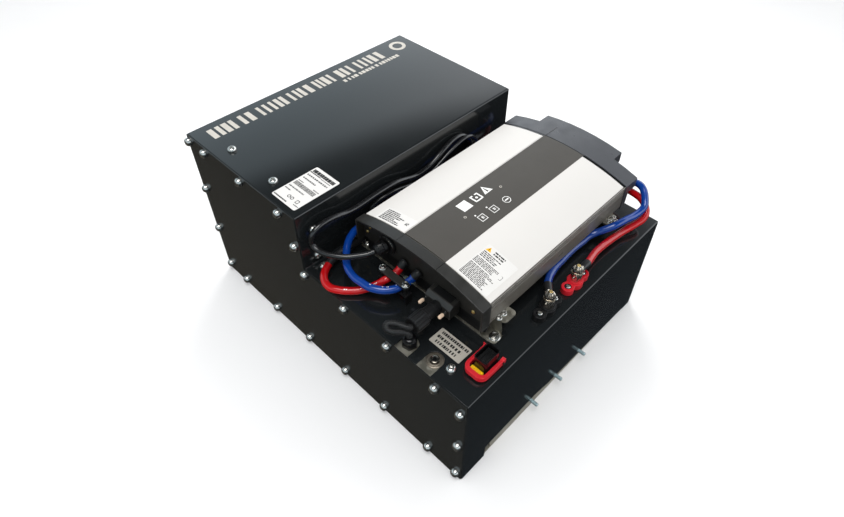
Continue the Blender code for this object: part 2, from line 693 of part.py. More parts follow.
def make_brackets():
    """Two Z-shaped brackets that carry the charger on the step."""
    foot_z = STEP_Z + GAP
    wing_z = CHARGER_Z - GAP
    for name, side in (("near", -1), ("far", 1)):
        web, foot, wing = BRACKET_X[name]
        front = BRACKET_FRONT_Y[name]
        rear = BRACKET_REAR_Y
        web_low, web_high = sorted((web, web - side * 2))
        foot_mesh = box((min(foot, web_high), front, foot_z), (max(foot, web_low), rear, foot_z + 2))
        web_mesh = box((web_low, front + 8, foot_z), (web_high, rear - 13, wing_z))
        wing_mesh = box((min(wing, web_low), front, wing_z - 2), (max(wing, web_high), rear, wing_z))
        part(f"bracket_{name}", "galvanised", web_mesh, add=[foot_mesh, wing_mesh])
    for i, (x, y) in enumerate(BRACKET_BOLTS, 1):
        z = foot_z + 2 + GAP
        head = turned([(0, 6.4), (5.2, 6.2), (6.6, 5), (6.8, 1.8), (8.8, 1.5), (8.8, 0), (0, 0)], 16)
        part(f"bracket_bolt_{i}", "zinc_bright", place(head, (x, y, z)), origin=(x, y, z))


# Power terminals


def make_post(name, x, colour, cable_direction):
    """A junction post: moulded base, plated stud with collar and nut, and the cable lug between them."""
    bottom = STEP_Z + GAP
    ear_x = (x - POST_HALF + EAR_R, x + POST_HALF - EAR_R)
    base = rod(POST_R, (x, POST_Y, bottom), (x, POST_Y, POST_TOP), 24)
    ears = [rod(EAR_R, (ex, POST_Y, bottom), (ex, POST_Y, POST_TOP - 3), 20) for ex in ear_x]
    web = box((ear_x[0], POST_Y - 8, bottom), (ear_x[1], POST_Y + 8, POST_TOP - 3.2))
    part(f"post_base_{name}", colour, base, add=[*ears, web])
    foot = POST_TOP + GAP
    profile = [(0, STUD_TOP), (3.6, STUD_TOP), (4.8, STUD_TOP - 1.5), (4.8, foot), (0, foot)]
    stud = place(turned(profile, 16), (x, POST_Y, 0))
    collar = rod(NUT_R, (x, POST_Y, foot), (x, POST_Y, LUG_Z - GAP), 6)
    nut_low = LUG_Z + LUG_T + GAP
    washer = rod(POST_WASHER_R, (x, POST_Y, nut_low), (x, POST_Y, nut_low + 1.6), 20)
    nut = rod(NUT_R, (x, POST_Y, nut_low + 1.5), (x, POST_Y, nut_low + 9), 6)
    part(f"post_stud_{name}", "zinc_bright", stud, add=[collar, washer, nut], origin=(x, POST_Y, POST_TOP))
    make_lug(name, x, Vector((*cable_direction, 0)).normalized())


def make_lug(name, x, along):
    """A crimped cable lug whose barrel points along the cable."""
    across = Vector((-along.y, along.x, 0))
    centre = Vector((x, POST_Y, 0))
    tongue = [centre + along * a + across * b for a, b in ((4, -7), (17, -6), (17, 6), (4, 7))]
    low, high = LUG_Z, LUG_Z + LUG_T
    palm = plate("XY", [ring((x, POST_Y), 10.5, 20), ring((x, POST_Y), LUG_HOLE_R, 16)], low, high)
    neck = plate("XY", [[tuple(p.xy) for p in tongue]], low, high)
    hole = rod(LUG_HOLE_R, (x, POST_Y, low - 2), (x, POST_Y, high + 2), 16)
    start = centre + along * 15 + Z_AXIS * (low + high) / 2
    barrel = rod(5.6, start, start + along * 10, 16)
    part(f"lug_{name}", "zinc_bright", palm, add=[neck, barrel], cut=[hole], origin=(x, POST_Y, LUG_Z))


# Cables, clamp and connectors at the near end


def make_cables():
    cable("cable_pos", "cable_red", RED_PATH, CHARGE_CABLE_R)
    cable("cable_neg", "cable_blue", BLUE_PATH, CHARGE_CABLE_R)
    cable("cable_mains", "cable_black", MAINS_PATH, MAINS_CABLE_R)
    cable("cable_aux", "cable_black", AUX_PATH, AUX_CABLE_R)
    cable("comm_cable", "cable_black", COMM_PATH, COMM_CABLE_R)


def make_clamp():
    """The bridge that holds the charge cables down on a raised shelf."""
    y_low, y_high = CLAMP_SCREW_Y[1] - 7, CLAMP_SCREW_Y[0] + 7
    x_low, x_high = CLAMP_X - CLAMP_HALF, CLAMP_X + CLAMP_HALF
    shelf = box((x_low, y_low, SHELF_Z - 2), (x_high, y_high, SHELF_Z))
    legs = [
        box((x_low, y, STEP_Z + GAP), (x_high, y + 2, SHELF_Z - 1)) for y in (y_low, y_high - 2)
    ]
    pillars = [
        rod(4.2, (CLAMP_X, y, SHELF_Z - 1), (CLAMP_X, y, CLAMP_Z - GAP), 12) for y in CLAMP_SCREW_Y
    ]
    part("clamp_base", "black_plastic", shelf, add=[*legs, *pillars])
    bar = plate("XY", [rounded((x_low + 1, y_low), (x_high - 1, y_high), 6)], CLAMP_Z, CLAMP_Z + 5)
    heads = [
        rod(6.5, (CLAMP_X, y, CLAMP_Z + 4), (CLAMP_X, y, CLAMP_Z + 9.5), 16, 4.5) for y in CLAMP_SCREW_Y
    ]
    part("clamp_bar", "black_plastic", bar, add=heads, origin=(CLAMP_X, sum(CLAMP_SCREW_Y) / 2, CLAMP_Z))


def make_near_connectors():
    face = NEAR_FACE_X - GAP
    axis = (DSUB_Y, DSUB_Z)
    hood = box((-193, DSUB_Y - 28, DSUB_Z - 14), (face, DSUB_Y + 28, DSUB_Z + 14))
    neck = rod(12, (-192, *axis), (-224, *axis), 20)
    nut = rod(15.5, (-223, *axis), (-250, *axis), 20, 14.2)
    screws = [rod(2.6, (-192, DSUB_Y + y, 291), (-213, DSUB_Y + y, 291), 10) for y in (-22, 22)]
    part("dsub_hood", "black_plastic", hood, add=[neck, nut, *screws])
    collar = rod(19, (face, *MAINS_GLAND), (face - 7, *MAINS_GLAND), 24)
    thread = rod(9, (CHARGER_X[0] + 1, *MAINS_GLAND), (face - 1, *MAINS_GLAND), 16)
    start = Vector((face - 6, *MAINS_GLAND))
    toward = (Vector(MAINS_PATH[1]) - start).normalized()
    dome = rod(11.5, start, start + toward * 20.5, 16, 8)
    part("mains_gland", "black_plastic", collar, add=[thread, dome])


def make_gland():
    x, y = GLAND
    top = GLAND_PLATE_TOP + GAP
    nut = rod(13.5, (x, y, top), (x, y, top + 9), 6)
    profile = [(0, 268), (7, 268), (11, 264.5), (11.8, 256), (11.8, top + 8), (0, top + 8)]
    dome = place(turned(profile, 20), (x, y, 0))
    thread = rod(7.8, (x, y, top - 12), (x, y, top + 1), 16)
    back_nut = rod(12.5, (x, y, top - 10), (x, y, GLAND_PLATE_TOP - GLAND_PLATE_T - GAP), 6)
    part("cable_gland", "black_plastic", nut, add=[dome, thread, back_nut])


def make_wake_button():
    """A metal push button: a flanged barrel through the plate, and the cap that is pressed into it."""
    x, y = BUTTON
    top = GLAND_PLATE_TOP + GAP
    rim = [(8.4, top + 3.2), (12, top + 3.2), (14.8, top + 1.4), (14.8, top), (8.9, top), (8.9, top - 24)]
    bore = [(0, top - 24), (0, top - 22), (4, top - 22), (4, top - 8), (8.4, top - 8), (8.4, top + 3.2)]
    body = turned([*rim, *bore], 24)
    part("wake_button_body", "stainless", place(body, (x, y, 0)), origin=(x, y, top))
    cap = turned([(0, top + 6), (5.2, top + 6), (7.8, top + 4.6), (7.8, top - 2), (0, top - 2)], 24)
    part("wake_button_cap", "stainless", place(cap, (x, y, 0)), origin=(x, y, top))


def make_signal_connector():
    """A panel socket with a U-shaped locking lever around it and a sliding lock at its near end."""
    bottom = STEP_Z + GAP
    low, high = HEADER_X
    inner, outer = HEADER_HALF - 1.6, HEADER_HALF
    walls = plate("XY", [
        rounded((low, HEADER_Y - outer), (high, HEADER_Y + outer), 5),
        rounded((low + 1.6, HEADER_Y - inner), (high - 1.6, HEADER_Y + inner), 3.4),
    ], bottom, HEADER_TOP)
    floor = box((low + 1, HEADER_Y - inner - 0.8, bottom), (high - 1, HEADER_Y + inner + 0.8, bottom + 8))
    flange = box((low - 2, HEADER_Y - 14, bottom), (high + 2, HEADER_Y + 14, bottom + 3.5))
    leg_inside = LEVER_HALF - LEVER_THICK
    x, z = PIVOT
    pivots = []
    for side in (-1, 1):
        wall = HEADER_Y + side * (outer - 1)
        pivots.append(rod(3.4, (x, wall, z), (x, HEADER_Y + side * (leg_inside - GAP), z), 12))
        pivots.append(rod(1.9, (x, wall, z), (x, HEADER_Y + side * (LEVER_HALF - 1.5), z), 12))
    part("can_header", "black_plastic", walls, add=[floor, flange, *pivots])
    past = LEVER_END_X + 3 * LEVER_CORNER
    outside = rounded((LEVER_BRIDGE_X, HEADER_Y - LEVER_HALF), (past, HEADER_Y + LEVER_HALF), LEVER_CORNER, 5)
    frame = plate("XY", [outside], *LEVER_Z)
    hollow = box(
        (LEVER_BRIDGE_X + LEVER_BRIDGE, HEADER_Y - leg_inside, LEVER_Z[0] - 2),
        (past + 2, HEADER_Y + leg_inside, LEVER_Z[1] + 2),
    )
    end = box((LEVER_END_X, HEADER_Y - 30, LEVER_Z[0] - 3), (past + 3, HEADER_Y + 30, LEVER_Z[1] + 3))
    bore = rod(2.2, (x, HEADER_Y - 30, z), (x, HEADER_Y + 30, z), 12)
    part("can_lever", "red_plastic", frame, cut=[hollow, end, bore], origin=(x, HEADER_Y, z))
    lock = box((LOCK_X, HEADER_Y - LOCK_HALF, LOCK_Z[0]), (low - GAP, HEADER_Y + LOCK_HALF, LOCK_Z[1]))
    part("can_cpa", "yellow_plastic", lock, origin=(low - GAP, HEADER_Y, LOCK_Z[0]))


def make_instruction_plate():
    loop = rounded((PLATE_X[0], PLATE_Y[0]), (PLATE_X[1], PLATE_Y[1]), 1.5)
    z = STEP_Z + GAP
    middle = (sum(PLATE_X) / 2, sum(PLATE_Y) / 2, z)
    part("instruction_plate", "nameplate", plate("XY", [loop], z, z + 0.8), origin=middle)


MATERIALS = {name: make_material(name, *values) for name, values in COLOURS.items()}
make_cover()
make_end(-1, "near")
make_end(1, "far")
make_tray()
make_box_fasteners()
make_gland_plate()
make_battery()
make_power_parts()
make_charger_shell()
make_charger_inside()
make_near_cap()
make_far_cap()
make_brackets()
make_post("neg", POSTS["neg"], "black_plastic", (26, 22))
make_post("pos", POSTS["pos"], "red_plastic", (1, 0))
make_cables()
make_clamp()
make_near_connectors()
make_gland()
make_wake_button()
make_signal_connector()
make_instruction_plate()
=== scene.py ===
"""Looks of the battery pack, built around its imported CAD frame.

Sizes in this file are millimetres in the CAD's own frame: origin under the middle of the box, +Z up,
+X along the charger, -Y the front. A mesh is scaled to metres once, when its piece is made.
"""

import math
import random

import bmesh
import bpy
from mathutils import Matrix, Vector


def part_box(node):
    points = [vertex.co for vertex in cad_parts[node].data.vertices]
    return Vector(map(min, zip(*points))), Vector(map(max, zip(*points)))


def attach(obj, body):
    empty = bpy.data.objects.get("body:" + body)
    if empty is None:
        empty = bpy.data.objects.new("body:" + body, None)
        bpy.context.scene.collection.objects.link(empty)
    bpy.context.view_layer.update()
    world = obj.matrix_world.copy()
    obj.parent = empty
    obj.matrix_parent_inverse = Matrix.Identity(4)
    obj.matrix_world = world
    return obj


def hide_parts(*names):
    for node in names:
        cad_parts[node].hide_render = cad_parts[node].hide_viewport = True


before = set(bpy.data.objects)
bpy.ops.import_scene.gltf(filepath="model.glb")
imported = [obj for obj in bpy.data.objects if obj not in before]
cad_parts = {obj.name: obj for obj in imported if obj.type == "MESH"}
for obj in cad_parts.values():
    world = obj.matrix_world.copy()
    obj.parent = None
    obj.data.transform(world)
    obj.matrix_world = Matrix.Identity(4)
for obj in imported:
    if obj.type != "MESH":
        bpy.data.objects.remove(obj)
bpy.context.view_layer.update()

MM = 0.001
Z_AXIS = Vector((0, 0, 1))


def cad_range(node):
    """A CAD node's lowest and highest corners in millimetres."""
    low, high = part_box(node)
    return low / MM, high / MM


COVER_LOW, COVER_HIGH = cad_range("main_cover")
END_X = cad_range("end_panel_far")[1].x
TOP_Z = COVER_HIGH.z
STEP_Z = 250.0
RISER_Y = 27.0
FRONT_Y = COVER_LOW.y

CROWN_R = 477.8
CROWN_Y = -156.0
CROWN_CENTRE_Z = 355.5 - CROWN_R
OVERLAY_LIFT = 1.9


# Materials


class Graph:
    """Builds the node tree of one material."""

    def __init__(self, name):
        self.material = bpy.data.materials.new(name)
        self.material.use_nodes = True
        self.tree = self.material.node_tree
        self.shader = self.tree.nodes["Principled BSDF"]
        self.place = self.add("ShaderNodeTexCoord").outputs["Object"]

    def add(self, kind, links=(), **settings):
        made = self.tree.nodes.new(kind)
        for key, value in settings.items():
            setattr(made, key, value)
        for key, value in dict(links).items():
            self.feed(made.inputs[key], value)
        return made

    def feed(self, socket, value):
        if isinstance(value, bpy.types.NodeSocket):
            self.tree.links.new(value, socket)
        else:
            socket.default_value = value

    def stretched(self, stretch):
        return self.add("ShaderNodeMapping", {"Vector": self.place, "Scale": stretch}).outputs["Vector"]

    def noise(self, scale, detail=3.0, stretch=None):
        where = self.stretched(stretch) if stretch else self.place
        return self.add("ShaderNodeTexNoise", {"Vector": where, "Scale": scale, "Detail": detail}).outputs["Fac"]

    def remap(self, value, low, high, from_low=0.3, from_high=0.7):
        links = {0: value, 1: from_low, 2: from_high, 3: low, 4: high}
        return self.add("ShaderNodeMapRange", links).outputs[0]

    def mix(self, factor, first, second):
        links = {0: factor, 6: first, 7: second}
        return self.add("ShaderNodeMix", links, data_type="RGBA").outputs[2]

    def maths(self, operation, first, second):
        return self.add("ShaderNodeMath", {0: first, 1: second}, operation=operation).outputs[0]

    def bump(self, height, strength, distance, normal=None):
        links = {"Height": height, "Strength": strength, "Distance": distance}
        if normal:
            links["Normal"] = normal
        return self.add("ShaderNodeBump", links).outputs["Normal"]

    def edges(self, radius):
        """1 along a solid's edges and 0 on its flats."""
        rounded = self.add("ShaderNodeBevel", {"Radius": radius}, samples=6).outputs[0]
        true = self.add("ShaderNodeNewGeometry").outputs["Normal"]
        dot = self.add("ShaderNodeVectorMath", {0: rounded, 1: true}, operation="DOT_PRODUCT").outputs["Value"]
        return self.remap(dot, 1.0, 0.0, 0.8, 0.99)


def rgba(colour, gain=1.0):
    return (*(min(1.0, c * gain) for c in colour), 1.0)


def surface(
    name, colour, roughness, metallic=0.0, spread=0.1, blotch=18.0, grain=1400.0, bump=0.15, depth=0.00004,
    stretch=None, coat=0.0, specular=0.5, edge_wear_and_highlight=None, dust=0.0, uneven=0.08,
):
    """A material whose colour, gloss and relief all vary a little over the surface."""
    g = Graph(name)
    clouds = g.noise(blotch, 4.0)
    base = g.mix(g.remap(clouds, 0, 1), rgba(colour, 1 - spread), rgba(colour, 1 + spread))
    if dust:
        specks = g.remap(g.noise(900.0, 2.0), 0, dust, 0.66, 0.78)
        base = g.mix(specks, base, (0.45, 0.45, 0.43, 1))
    if edge_wear_and_highlight:
        # Paint lightened along rounded edges under a noise mask: partly wear, partly a painted highlight for the light
        # lines along bends and panel edges.
        worn_and_highlit_edges = g.maths("MULTIPLY", g.edges(0.0012), g.remap(g.noise(160.0), 0.35, 1.0))
        base = g.mix(worn_and_highlit_edges, base, rgba(edge_wear_and_highlight))
    fine = g.noise(grain, 3.0, stretch)
    g.feed(g.shader.inputs["Base Color"], base)
    g.feed(g.shader.inputs["Metallic"], metallic)
    rough = g.maths("ADD", g.remap(g.noise(blotch * 3.1), -uneven, uneven), roughness)
    g.feed(g.shader.inputs["Roughness"], g.maths("ADD", rough, g.remap(fine, -uneven / 2, uneven / 2)))
    g.feed(g.shader.inputs["Specular IOR Level"], specular)
    g.feed(g.shader.inputs["Coat Weight"], coat)
    g.feed(g.shader.inputs["Coat Roughness"], 0.12)
    g.feed(g.shader.inputs["Normal"], g.bump(fine, bump, depth))
    return g.material


def galvanised_material():
    """Zinc-dipped sheet, with the patchy crystals that it freezes into."""
    g = Graph("galvanised")
    cells = g.add("ShaderNodeTexVoronoi", {"Vector": g.place, "Scale": 120.0, "Randomness": 1.0})
    spangle = g.add("ShaderNodeSeparateColor", {0: cells.outputs["Color"]}).outputs[0]
    drawn = g.noise(500.0, 3.0, (1, 0.06, 1))
    shade = g.maths("ADD", g.maths("MULTIPLY", spangle, 0.6), g.maths("MULTIPLY", drawn, 0.4))
    g.feed(g.shader.inputs["Base Color"], g.mix(shade, (0.2, 0.19, 0.155, 1), (0.4, 0.38, 0.32, 1)))
    g.feed(g.shader.inputs["Metallic"], 0.85)
    g.feed(g.shader.inputs["Roughness"], g.remap(shade, 0.34, 0.52))
    g.feed(g.shader.inputs["Normal"], g.bump(drawn, 0.2, 0.00003))
    return g.material


LOOKS = {
    # The paint's lighter edges are partly wear and partly a painted highlight.
    "paint": surface(
        "powder_coat", (0.0082, 0.0096, 0.0102), 0.13, spread=0.05, blotch=5, grain=1100, bump=0.05, depth=0.00001,
        edge_wear_and_highlight=(0.05, 0.05, 0.046), uneven=0.02,
    ),
    "galvanised": galvanised_material(),
    "bare_steel": surface("bare_steel", (0.3, 0.285, 0.235), 0.55, 0.1, spread=0.12, blotch=30, stretch=(0.05, 1, 1)),
    "zinc": surface("zinc_plate", (0.6, 0.59, 0.56), 0.22, 1.0, spread=0.15, blotch=220, grain=2600, bump=0.12),
    "thread": surface("zinc_thread", (0.45, 0.56, 0.58), 0.26, 0.6, spread=0.2, blotch=400, grain=3000, bump=0.2),
    "brass": surface("brass_tip", (0.7, 0.5, 0.2), 0.3, 1.0, spread=0.15, blotch=300),
    "stainless": surface("stainless", (0.55, 0.5, 0.43), 0.2, 1.0, spread=0.15, blotch=160, stretch=(1, 1, 0.1)),
    "dark_steel": surface("dark_steel", (0.22, 0.2, 0.17), 0.22, 1.0, spread=0.15, blotch=300, stretch=(1, 1, 0.1)),
    "bezel": surface("dull_bezel", (0.2, 0.175, 0.14), 0.42, 0.8, spread=0.15, blotch=200, grain=1800, bump=0.3),
    "black": surface("black_plastic", (0.0055, 0.0055, 0.0058), 0.4, grain=2400, bump=0.3, depth=0.00005,
                     specular=0.3),
    "gloss_black": surface("gloss_black", (0.003, 0.003, 0.0035), 0.2, grain=1500, bump=0.08, specular=0.4),
    # The near cap's look is painted darker as shade. The far cap's look is the same plastic painted lighter and bluer
    # as a reflection of the sky.
    "cap": surface("cap_plastic_painted_shade", (0.014, 0.0135, 0.012), 0.42, grain=2200, bump=0.35, depth=0.00005, spread=0.06),
    "far_cap": surface("far_cap_painted_sky_sheen", (0.04, 0.042, 0.048), 0.36, grain=2200, bump=0.35, depth=0.00005),
    "shell": surface("charger_shell", (0.15, 0.138, 0.12), 0.36, 0.25, stretch=(0.04, 1, 1), grain=300, bump=0.02, spread=0.05),
    # A lighter copy of the shell's metal for the side beads: a painted highlight for the bright line along them.
    "shell_bead_painted_highlight": surface("shell_bead_painted_highlight", (0.3, 0.285, 0.26), 0.3, 0.6, stretch=(0.04, 1, 1), spread=0.06),
    "overlay": surface(
        "white_overlay", (0.62, 0.605, 0.58), 0.4, spread=0.012, blotch=6, grain=2600, bump=0.25, depth=0.00003,
        uneven=0.04, specular=0.3,
    ),
    "keypad": surface(
        "keypad_film", (0.06, 0.056, 0.05), 0.5, spread=0.04, grain=2800, bump=0.35, depth=0.00004, specular=0.25,
        uneven=0.03,
    ),
    "print": surface("pale_print", (0.5, 0.475, 0.43), 0.5, spread=0.05, blotch=40, specular=0.3),
    "white_print": surface("white_print", (0.8, 0.8, 0.78), 0.45, spread=0.03),
    "label": surface("label_film", (0.66, 0.65, 0.63), 0.45, spread=0.02, blotch=30, specular=0.3),
    "ink": surface("label_ink", (0.012, 0.012, 0.012), 0.5, specular=0.2),
    "grey_ink": surface("grey_ink", (0.06, 0.06, 0.06), 0.5, specular=0.2),
    "signal_yellow": surface("signal_yellow", (0.8, 0.42, 0.01), 0.4, spread=0.04),
    "plate": surface("engraved_plate", (0.5, 0.47, 0.41), 0.42, 0.3, stretch=(1, 0.05, 1), spread=0.05, bump=0.2),
    "red_plastic": surface("red_plastic", (0.55, 0.012, 0.022), 0.35, grain=1800, bump=0.2, spread=0.06, specular=0.4),
    "yellow_plastic": surface("yellow_plastic", (0.8, 0.48, 0.005), 0.35, grain=1800, spread=0.06),
    "red_cable": surface("red_jacket", (0.42, 0.003, 0.005), 0.17, grain=700, bump=0.08, coat=0.25, spread=0.06),
    "blue_cable": surface("blue_jacket", (0.0008, 0.034, 0.22), 0.17, grain=700, bump=0.08, coat=0.25, spread=0.08),
    "black_cable": surface("black_jacket", (0.007, 0.007, 0.0075), 0.24, grain=900, bump=0.12, spread=0.1, coat=0.2),
    "braid": surface("braided_sleeve", (0.009, 0.009, 0.009), 0.4, grain=3000, bump=0.5, spread=0.5, blotch=700),
    "sleeve": surface("heat_shrink", (0.011, 0.011, 0.012), 0.36, grain=500, bump=0.3, depth=0.0001),
    "tab": surface("grey_tab", (0.085, 0.1, 0.085), 0.4, spread=0.2, blotch=120, grain=900),
    "cream": surface("cream_plastic", (0.7, 0.53, 0.39), 0.35, grain=1500, spread=0.06),
    "cells": surface("cell_wrap", (0.06, 0.16, 0.34), 0.5),
    "copper": surface("copper", (0.72, 0.33, 0.18), 0.3, 1.0, spread=0.15),
    "board": surface("solder_mask", (0.012, 0.12, 0.05), 0.4, grain=600, bump=0.4),
}


# Shapes


def facing(axis, spin=0.0):
    turn = Z_AXIS.rotation_difference(Vector(axis)).to_matrix().to_4x4()
    return turn @ Matrix.Rotation(spin, 4, "Z")


def hexagon(apothem, angle):
    """A hexagon's radius at an angle."""
    sector = math.pi / 3
    return apothem / math.cos((angle + sector / 2) % sector - sector / 2)


def smooth_path(points, steps=6):
    """A Catmull-Rom curve through the points."""
    points = [Vector(p) for p in points]
    ends = [2 * points[0] - points[1], *points, 2 * points[-1] - points[-2]]
    path = []
    for a, b, c, d in zip(ends, ends[1:], ends[2:], ends[3:]):
        for i in range(steps):
            t = i / steps
            path.append(
                ((2 * b) + (c - a) * t + (2 * a - 5 * b + 4 * c - d) * t**2 + (3 * b - a - 3 * c + d) * t**3) / 2
            )
    return [*path, points[-1]]


def carried_frames(path):
    """A side direction and an up direction for each point of a path, turned as little as possible."""
    ways = [(b - a).normalized() for a, b in zip(path, path[1:])]
    ways = [ways[0], *((a + b).normalized() for a, b in zip(ways, ways[1:])), ways[-1]]
    side = ways[0].orthogonal().normalized()
    frames = []
    for before, way in zip([ways[0], *ways], ways):
        side = before.rotation_difference(way) @ side
        side = (side - way * side.dot(way)).normalized()
        frames.append((side, way.cross(side)))
    return frames


class Shape:
    """Collects solids that make one piece."""

    def __init__(self):
        self.bm = bmesh.new()

    def _rings(self, rings):
        """Skins a row of vertex rings. A ring of one point closes to a tip."""
        rings = [[self.bm.verts.new(p) for p in ring] for ring in rings]
        for a, b in zip(rings, rings[1:]):
            n = max(len(a), len(b))
            for i in range(n):
                j = (i + 1) % n
                if len(a) == 1:
                    self.bm.faces.new((a[0], b[j], b[i]))
                elif len(b) == 1:
                    self.bm.faces.new((a[i], a[j], b[0]))
                else:
                    self.bm.faces.new((a[i], a[j], b[j], b[i]))
        for ring, flip in ((rings[0], True), (rings[-1], False)):
            if len(ring) > 2:
                self.bm.faces.new(ring[::-1] if flip else ring)

    def lathe(self, profile, at=(0, 0, 0), axis=(0, 0, 1), sides=32, spin=0.0):
        """A turned solid from (radius, height) points, bottom to top. A third value of 6 makes that ring a
        hexagon with this apothem, and a fourth limits its corners."""
        place = Matrix.Translation(Vector(at)) @ facing(axis, spin)
        rings = []
        for radius, height, *kind in profile:
            if radius == 0:
                rings.append([place @ Vector((0, 0, height))])
                continue
            ring = []
            for i in range(sides):
                a = 2 * math.pi * i / sides
                r = hexagon(radius, a) if kind else radius
                if len(kind) > 1:
                    r = min(r, kind[1])
                ring.append(place @ Vector((r * math.cos(a), r * math.sin(a), height)))
            rings.append(ring)
        self._rings(rings)
        return self

    def box(self, low, high):
        low, high = Vector(low), Vector(high)
        size = Matrix.Diagonal((*(high - low), 1))
        bmesh.ops.create_cube(self.bm, size=1, matrix=Matrix.Translation((low + high) / 2) @ size)
        return self

    def prism(self, loop, low, high, plane="XY"):
        """A flat outline made thick across its plane."""
        lift = {
            "XY": lambda u, v, w: (u, v, w), "YZ": lambda u, v, w: (w, u, v), "XZ": lambda u, v, w: (u, w, v),
        }[plane]
        self._rings([[lift(u, v, w) for u, v in loop] for w in (low, high)])
        return self

    def band(self, outer, inner, low, high):
        """A flat frame between two loops of as many points."""
        loops = [[self.bm.verts.new((*p, z)) for p in loop] for loop in (outer, inner) for z in (low, high)]
        (outer_low, outer_high, inner_low, inner_high), n = loops, len(outer)
        for i in range(n):
            j = (i + 1) % n
            for a, b in (
                (outer_low, outer_high), (outer_high, inner_high), (inner_high, inner_low), (inner_low, outer_low),
            ):
                self.bm.faces.new((a[i], a[j], b[j], b[i]))
        return self

    def tube(self, path, radius, sides=18):
        """A round bar along a path. Its radius may be a function of the share of the path."""
        rings = []
        last = len(path) - 1
        for i, (point, (side, up)) in enumerate(zip(path, carried_frames(path))):
            r = radius(i / last) if callable(radius) else radius
            angles = [2 * math.pi * k / sides for k in range(sides)]
            rings.append([point + (side * math.cos(a) + up * math.sin(a)) * r for a in angles])
        self._rings(rings)
        return self

    def move(self, matrix):
        self.bm.transform(matrix)
        return self

    def make(self, name, look, body="pack", bevel=0.0, segments=2, replaces=(), sharp=35):
        """Turns the collected solids into a piece of the object."""
        bmesh.ops.recalc_face_normals(self.bm, faces=self.bm.faces)
        self.bm.transform(Matrix.Diagonal((MM, MM, MM, 1)))
        mesh = bpy.data.meshes.new(name)
        self.bm.to_mesh(mesh)
        self.bm.free()
        return piece(name, mesh, look, body, bevel, segments, replaces, sharp)


def piece(name, mesh, look, body="pack", bevel=0.0, segments=2, replaces=(), sharp=35):
    mesh.materials.clear()
    mesh.materials.append(LOOKS[look])
    mesh.shade_smooth()
    mesh.set_sharp_from_angle(angle=math.radians(sharp))
    obj = bpy.data.objects.new(name, mesh)
    bpy.context.scene.collection.objects.link(obj)
    if bevel:
        modifier = obj.modifiers.new("edges", "BEVEL")
        modifier.width = bevel * MM
        modifier.segments = segments
        modifier.limit_method = "ANGLE"
        modifier.angle_limit = math.radians(sharp)
        modifier.harden_normals = True
        modifier.use_clamp_overlap = True
    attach(obj, body)
    if replaces:
        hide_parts(*replaces)
    return obj


def plain_mesh(node):
    """A CAD node's surface with its split corners and its triangles joined again."""
    work = bmesh.new()
    work.from_mesh(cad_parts[node].data)
    bmesh.ops.remove_doubles(work, verts=work.verts, dist=1e-6)
    bmesh.ops.dissolve_limit(work, angle_limit=math.radians(0.4), verts=work.verts, edges=work.edges)
    work.verts.index_update()
    mesh = bpy.data.meshes.new(node)
    mesh.from_pydata([v.co for v in work.verts], [], [[v.index for v in f.verts] for f in work.faces])
    work.free()
    return mesh


def refined(node, look, bevel=0.5, segments=2, body="pack", corner=0.0, sharp=30):
    """The CAD node's own shape with soft edges. A corner radius rounds the short upright edges of sheet metal."""
    mesh = plain_mesh(node)
    if corner:
        work = bmesh.new()
        work.from_mesh(mesh)
        upright = [
            e for e in work.edges
            if abs((e.verts[0].co - e.verts[1].co).normalized().z) > 0.99 and e.calc_length() < 0.004
        ]
        bmesh.ops.bevel(work, geom=upright, offset=corner * MM, segments=6, affect="EDGES", profile=0.5)
        work.to_mesh(mesh)
        work.free()
    return piece(f"{node}_finished", mesh, look, body, bevel, segments, (node,), sharp)


def roof(y, lift=0.0):
    """Height of the charger's crowned roof over its sheets."""
    return CROWN_CENTRE_Z + math.sqrt((CROWN_R + OVERLAY_LIFT) ** 2 - (y - CROWN_Y) ** 2) + lift


def decal(name, polygons, look, height, thick=0.12, body="pack", slice_mm=6.0):
    """Thin printed or stuck-on shapes. Height is a number, or a function of Y for the crowned roof."""
    work = bmesh.new()
    for polygon in polygons:
        rings = [[work.verts.new((*p, z)) for p in polygon] for z in (0, thick)]
        work.faces.new(rings[0][::-1])
        work.faces.new(rings[1])
        for i in range(len(polygon)):
            j = (i + 1) % len(polygon)
            work.faces.new((rings[0][i], rings[0][j], rings[1][j], rings[1][i]))
    if callable(height):
        low = min(v.co.y for v in work.verts)
        high = max(v.co.y for v in work.verts)
        for k in range(1, int((high - low) / slice_mm) + 1):
            everything = [*work.verts, *work.edges, *work.faces]
            cut_at = (0, low + k * slice_mm, 0)
            bmesh.ops.bisect_plane(work, geom=everything, plane_co=cut_at, plane_no=(0, 1, 0), dist=1e-5)
        for vertex in work.verts:
            vertex.co.z += height(vertex.co.y)
    else:
        bmesh.ops.translate(work, verts=work.verts, vec=(0, 0, height))
    bmesh.ops.recalc_face_normals(work, faces=work.faces)
    work.transform(Matrix.Diagonal((MM, MM, MM, 1)))
    mesh = bpy.data.meshes.new(name)
    work.to_mesh(mesh)
    work.free()
    return piece(name, mesh, look, body)


def rectangle(x0, y0, x1, y1):
    return [(x0, y0), (x1, y0), (x1, y1), (x0, y1)]


def ring(centre, radius, sides=24, start=0.0):
    angles = [start + 2 * math.pi * i / sides for i in range(sides)]
    return [(centre[0] + radius * math.cos(a), centre[1] + radius * math.sin(a)) for a in angles]


def rounded(x0, y0, x1, y1, radius, steps=5):
    """A rectangle with round corners, counter-clockwise."""
    loop = []
    for cx, cy, start in (
        (x1 - radius, y1 - radius, 0), (x0 + radius, y1 - radius, 90),
        (x0 + radius, y0 + radius, 180), (x1 - radius, y0 + radius, 270),
    ):
        for i in range(steps + 1):
            a = math.radians(start + 90 * i / steps)
            loop.append((cx + radius * math.cos(a), cy + radius * math.sin(a)))
    return loop


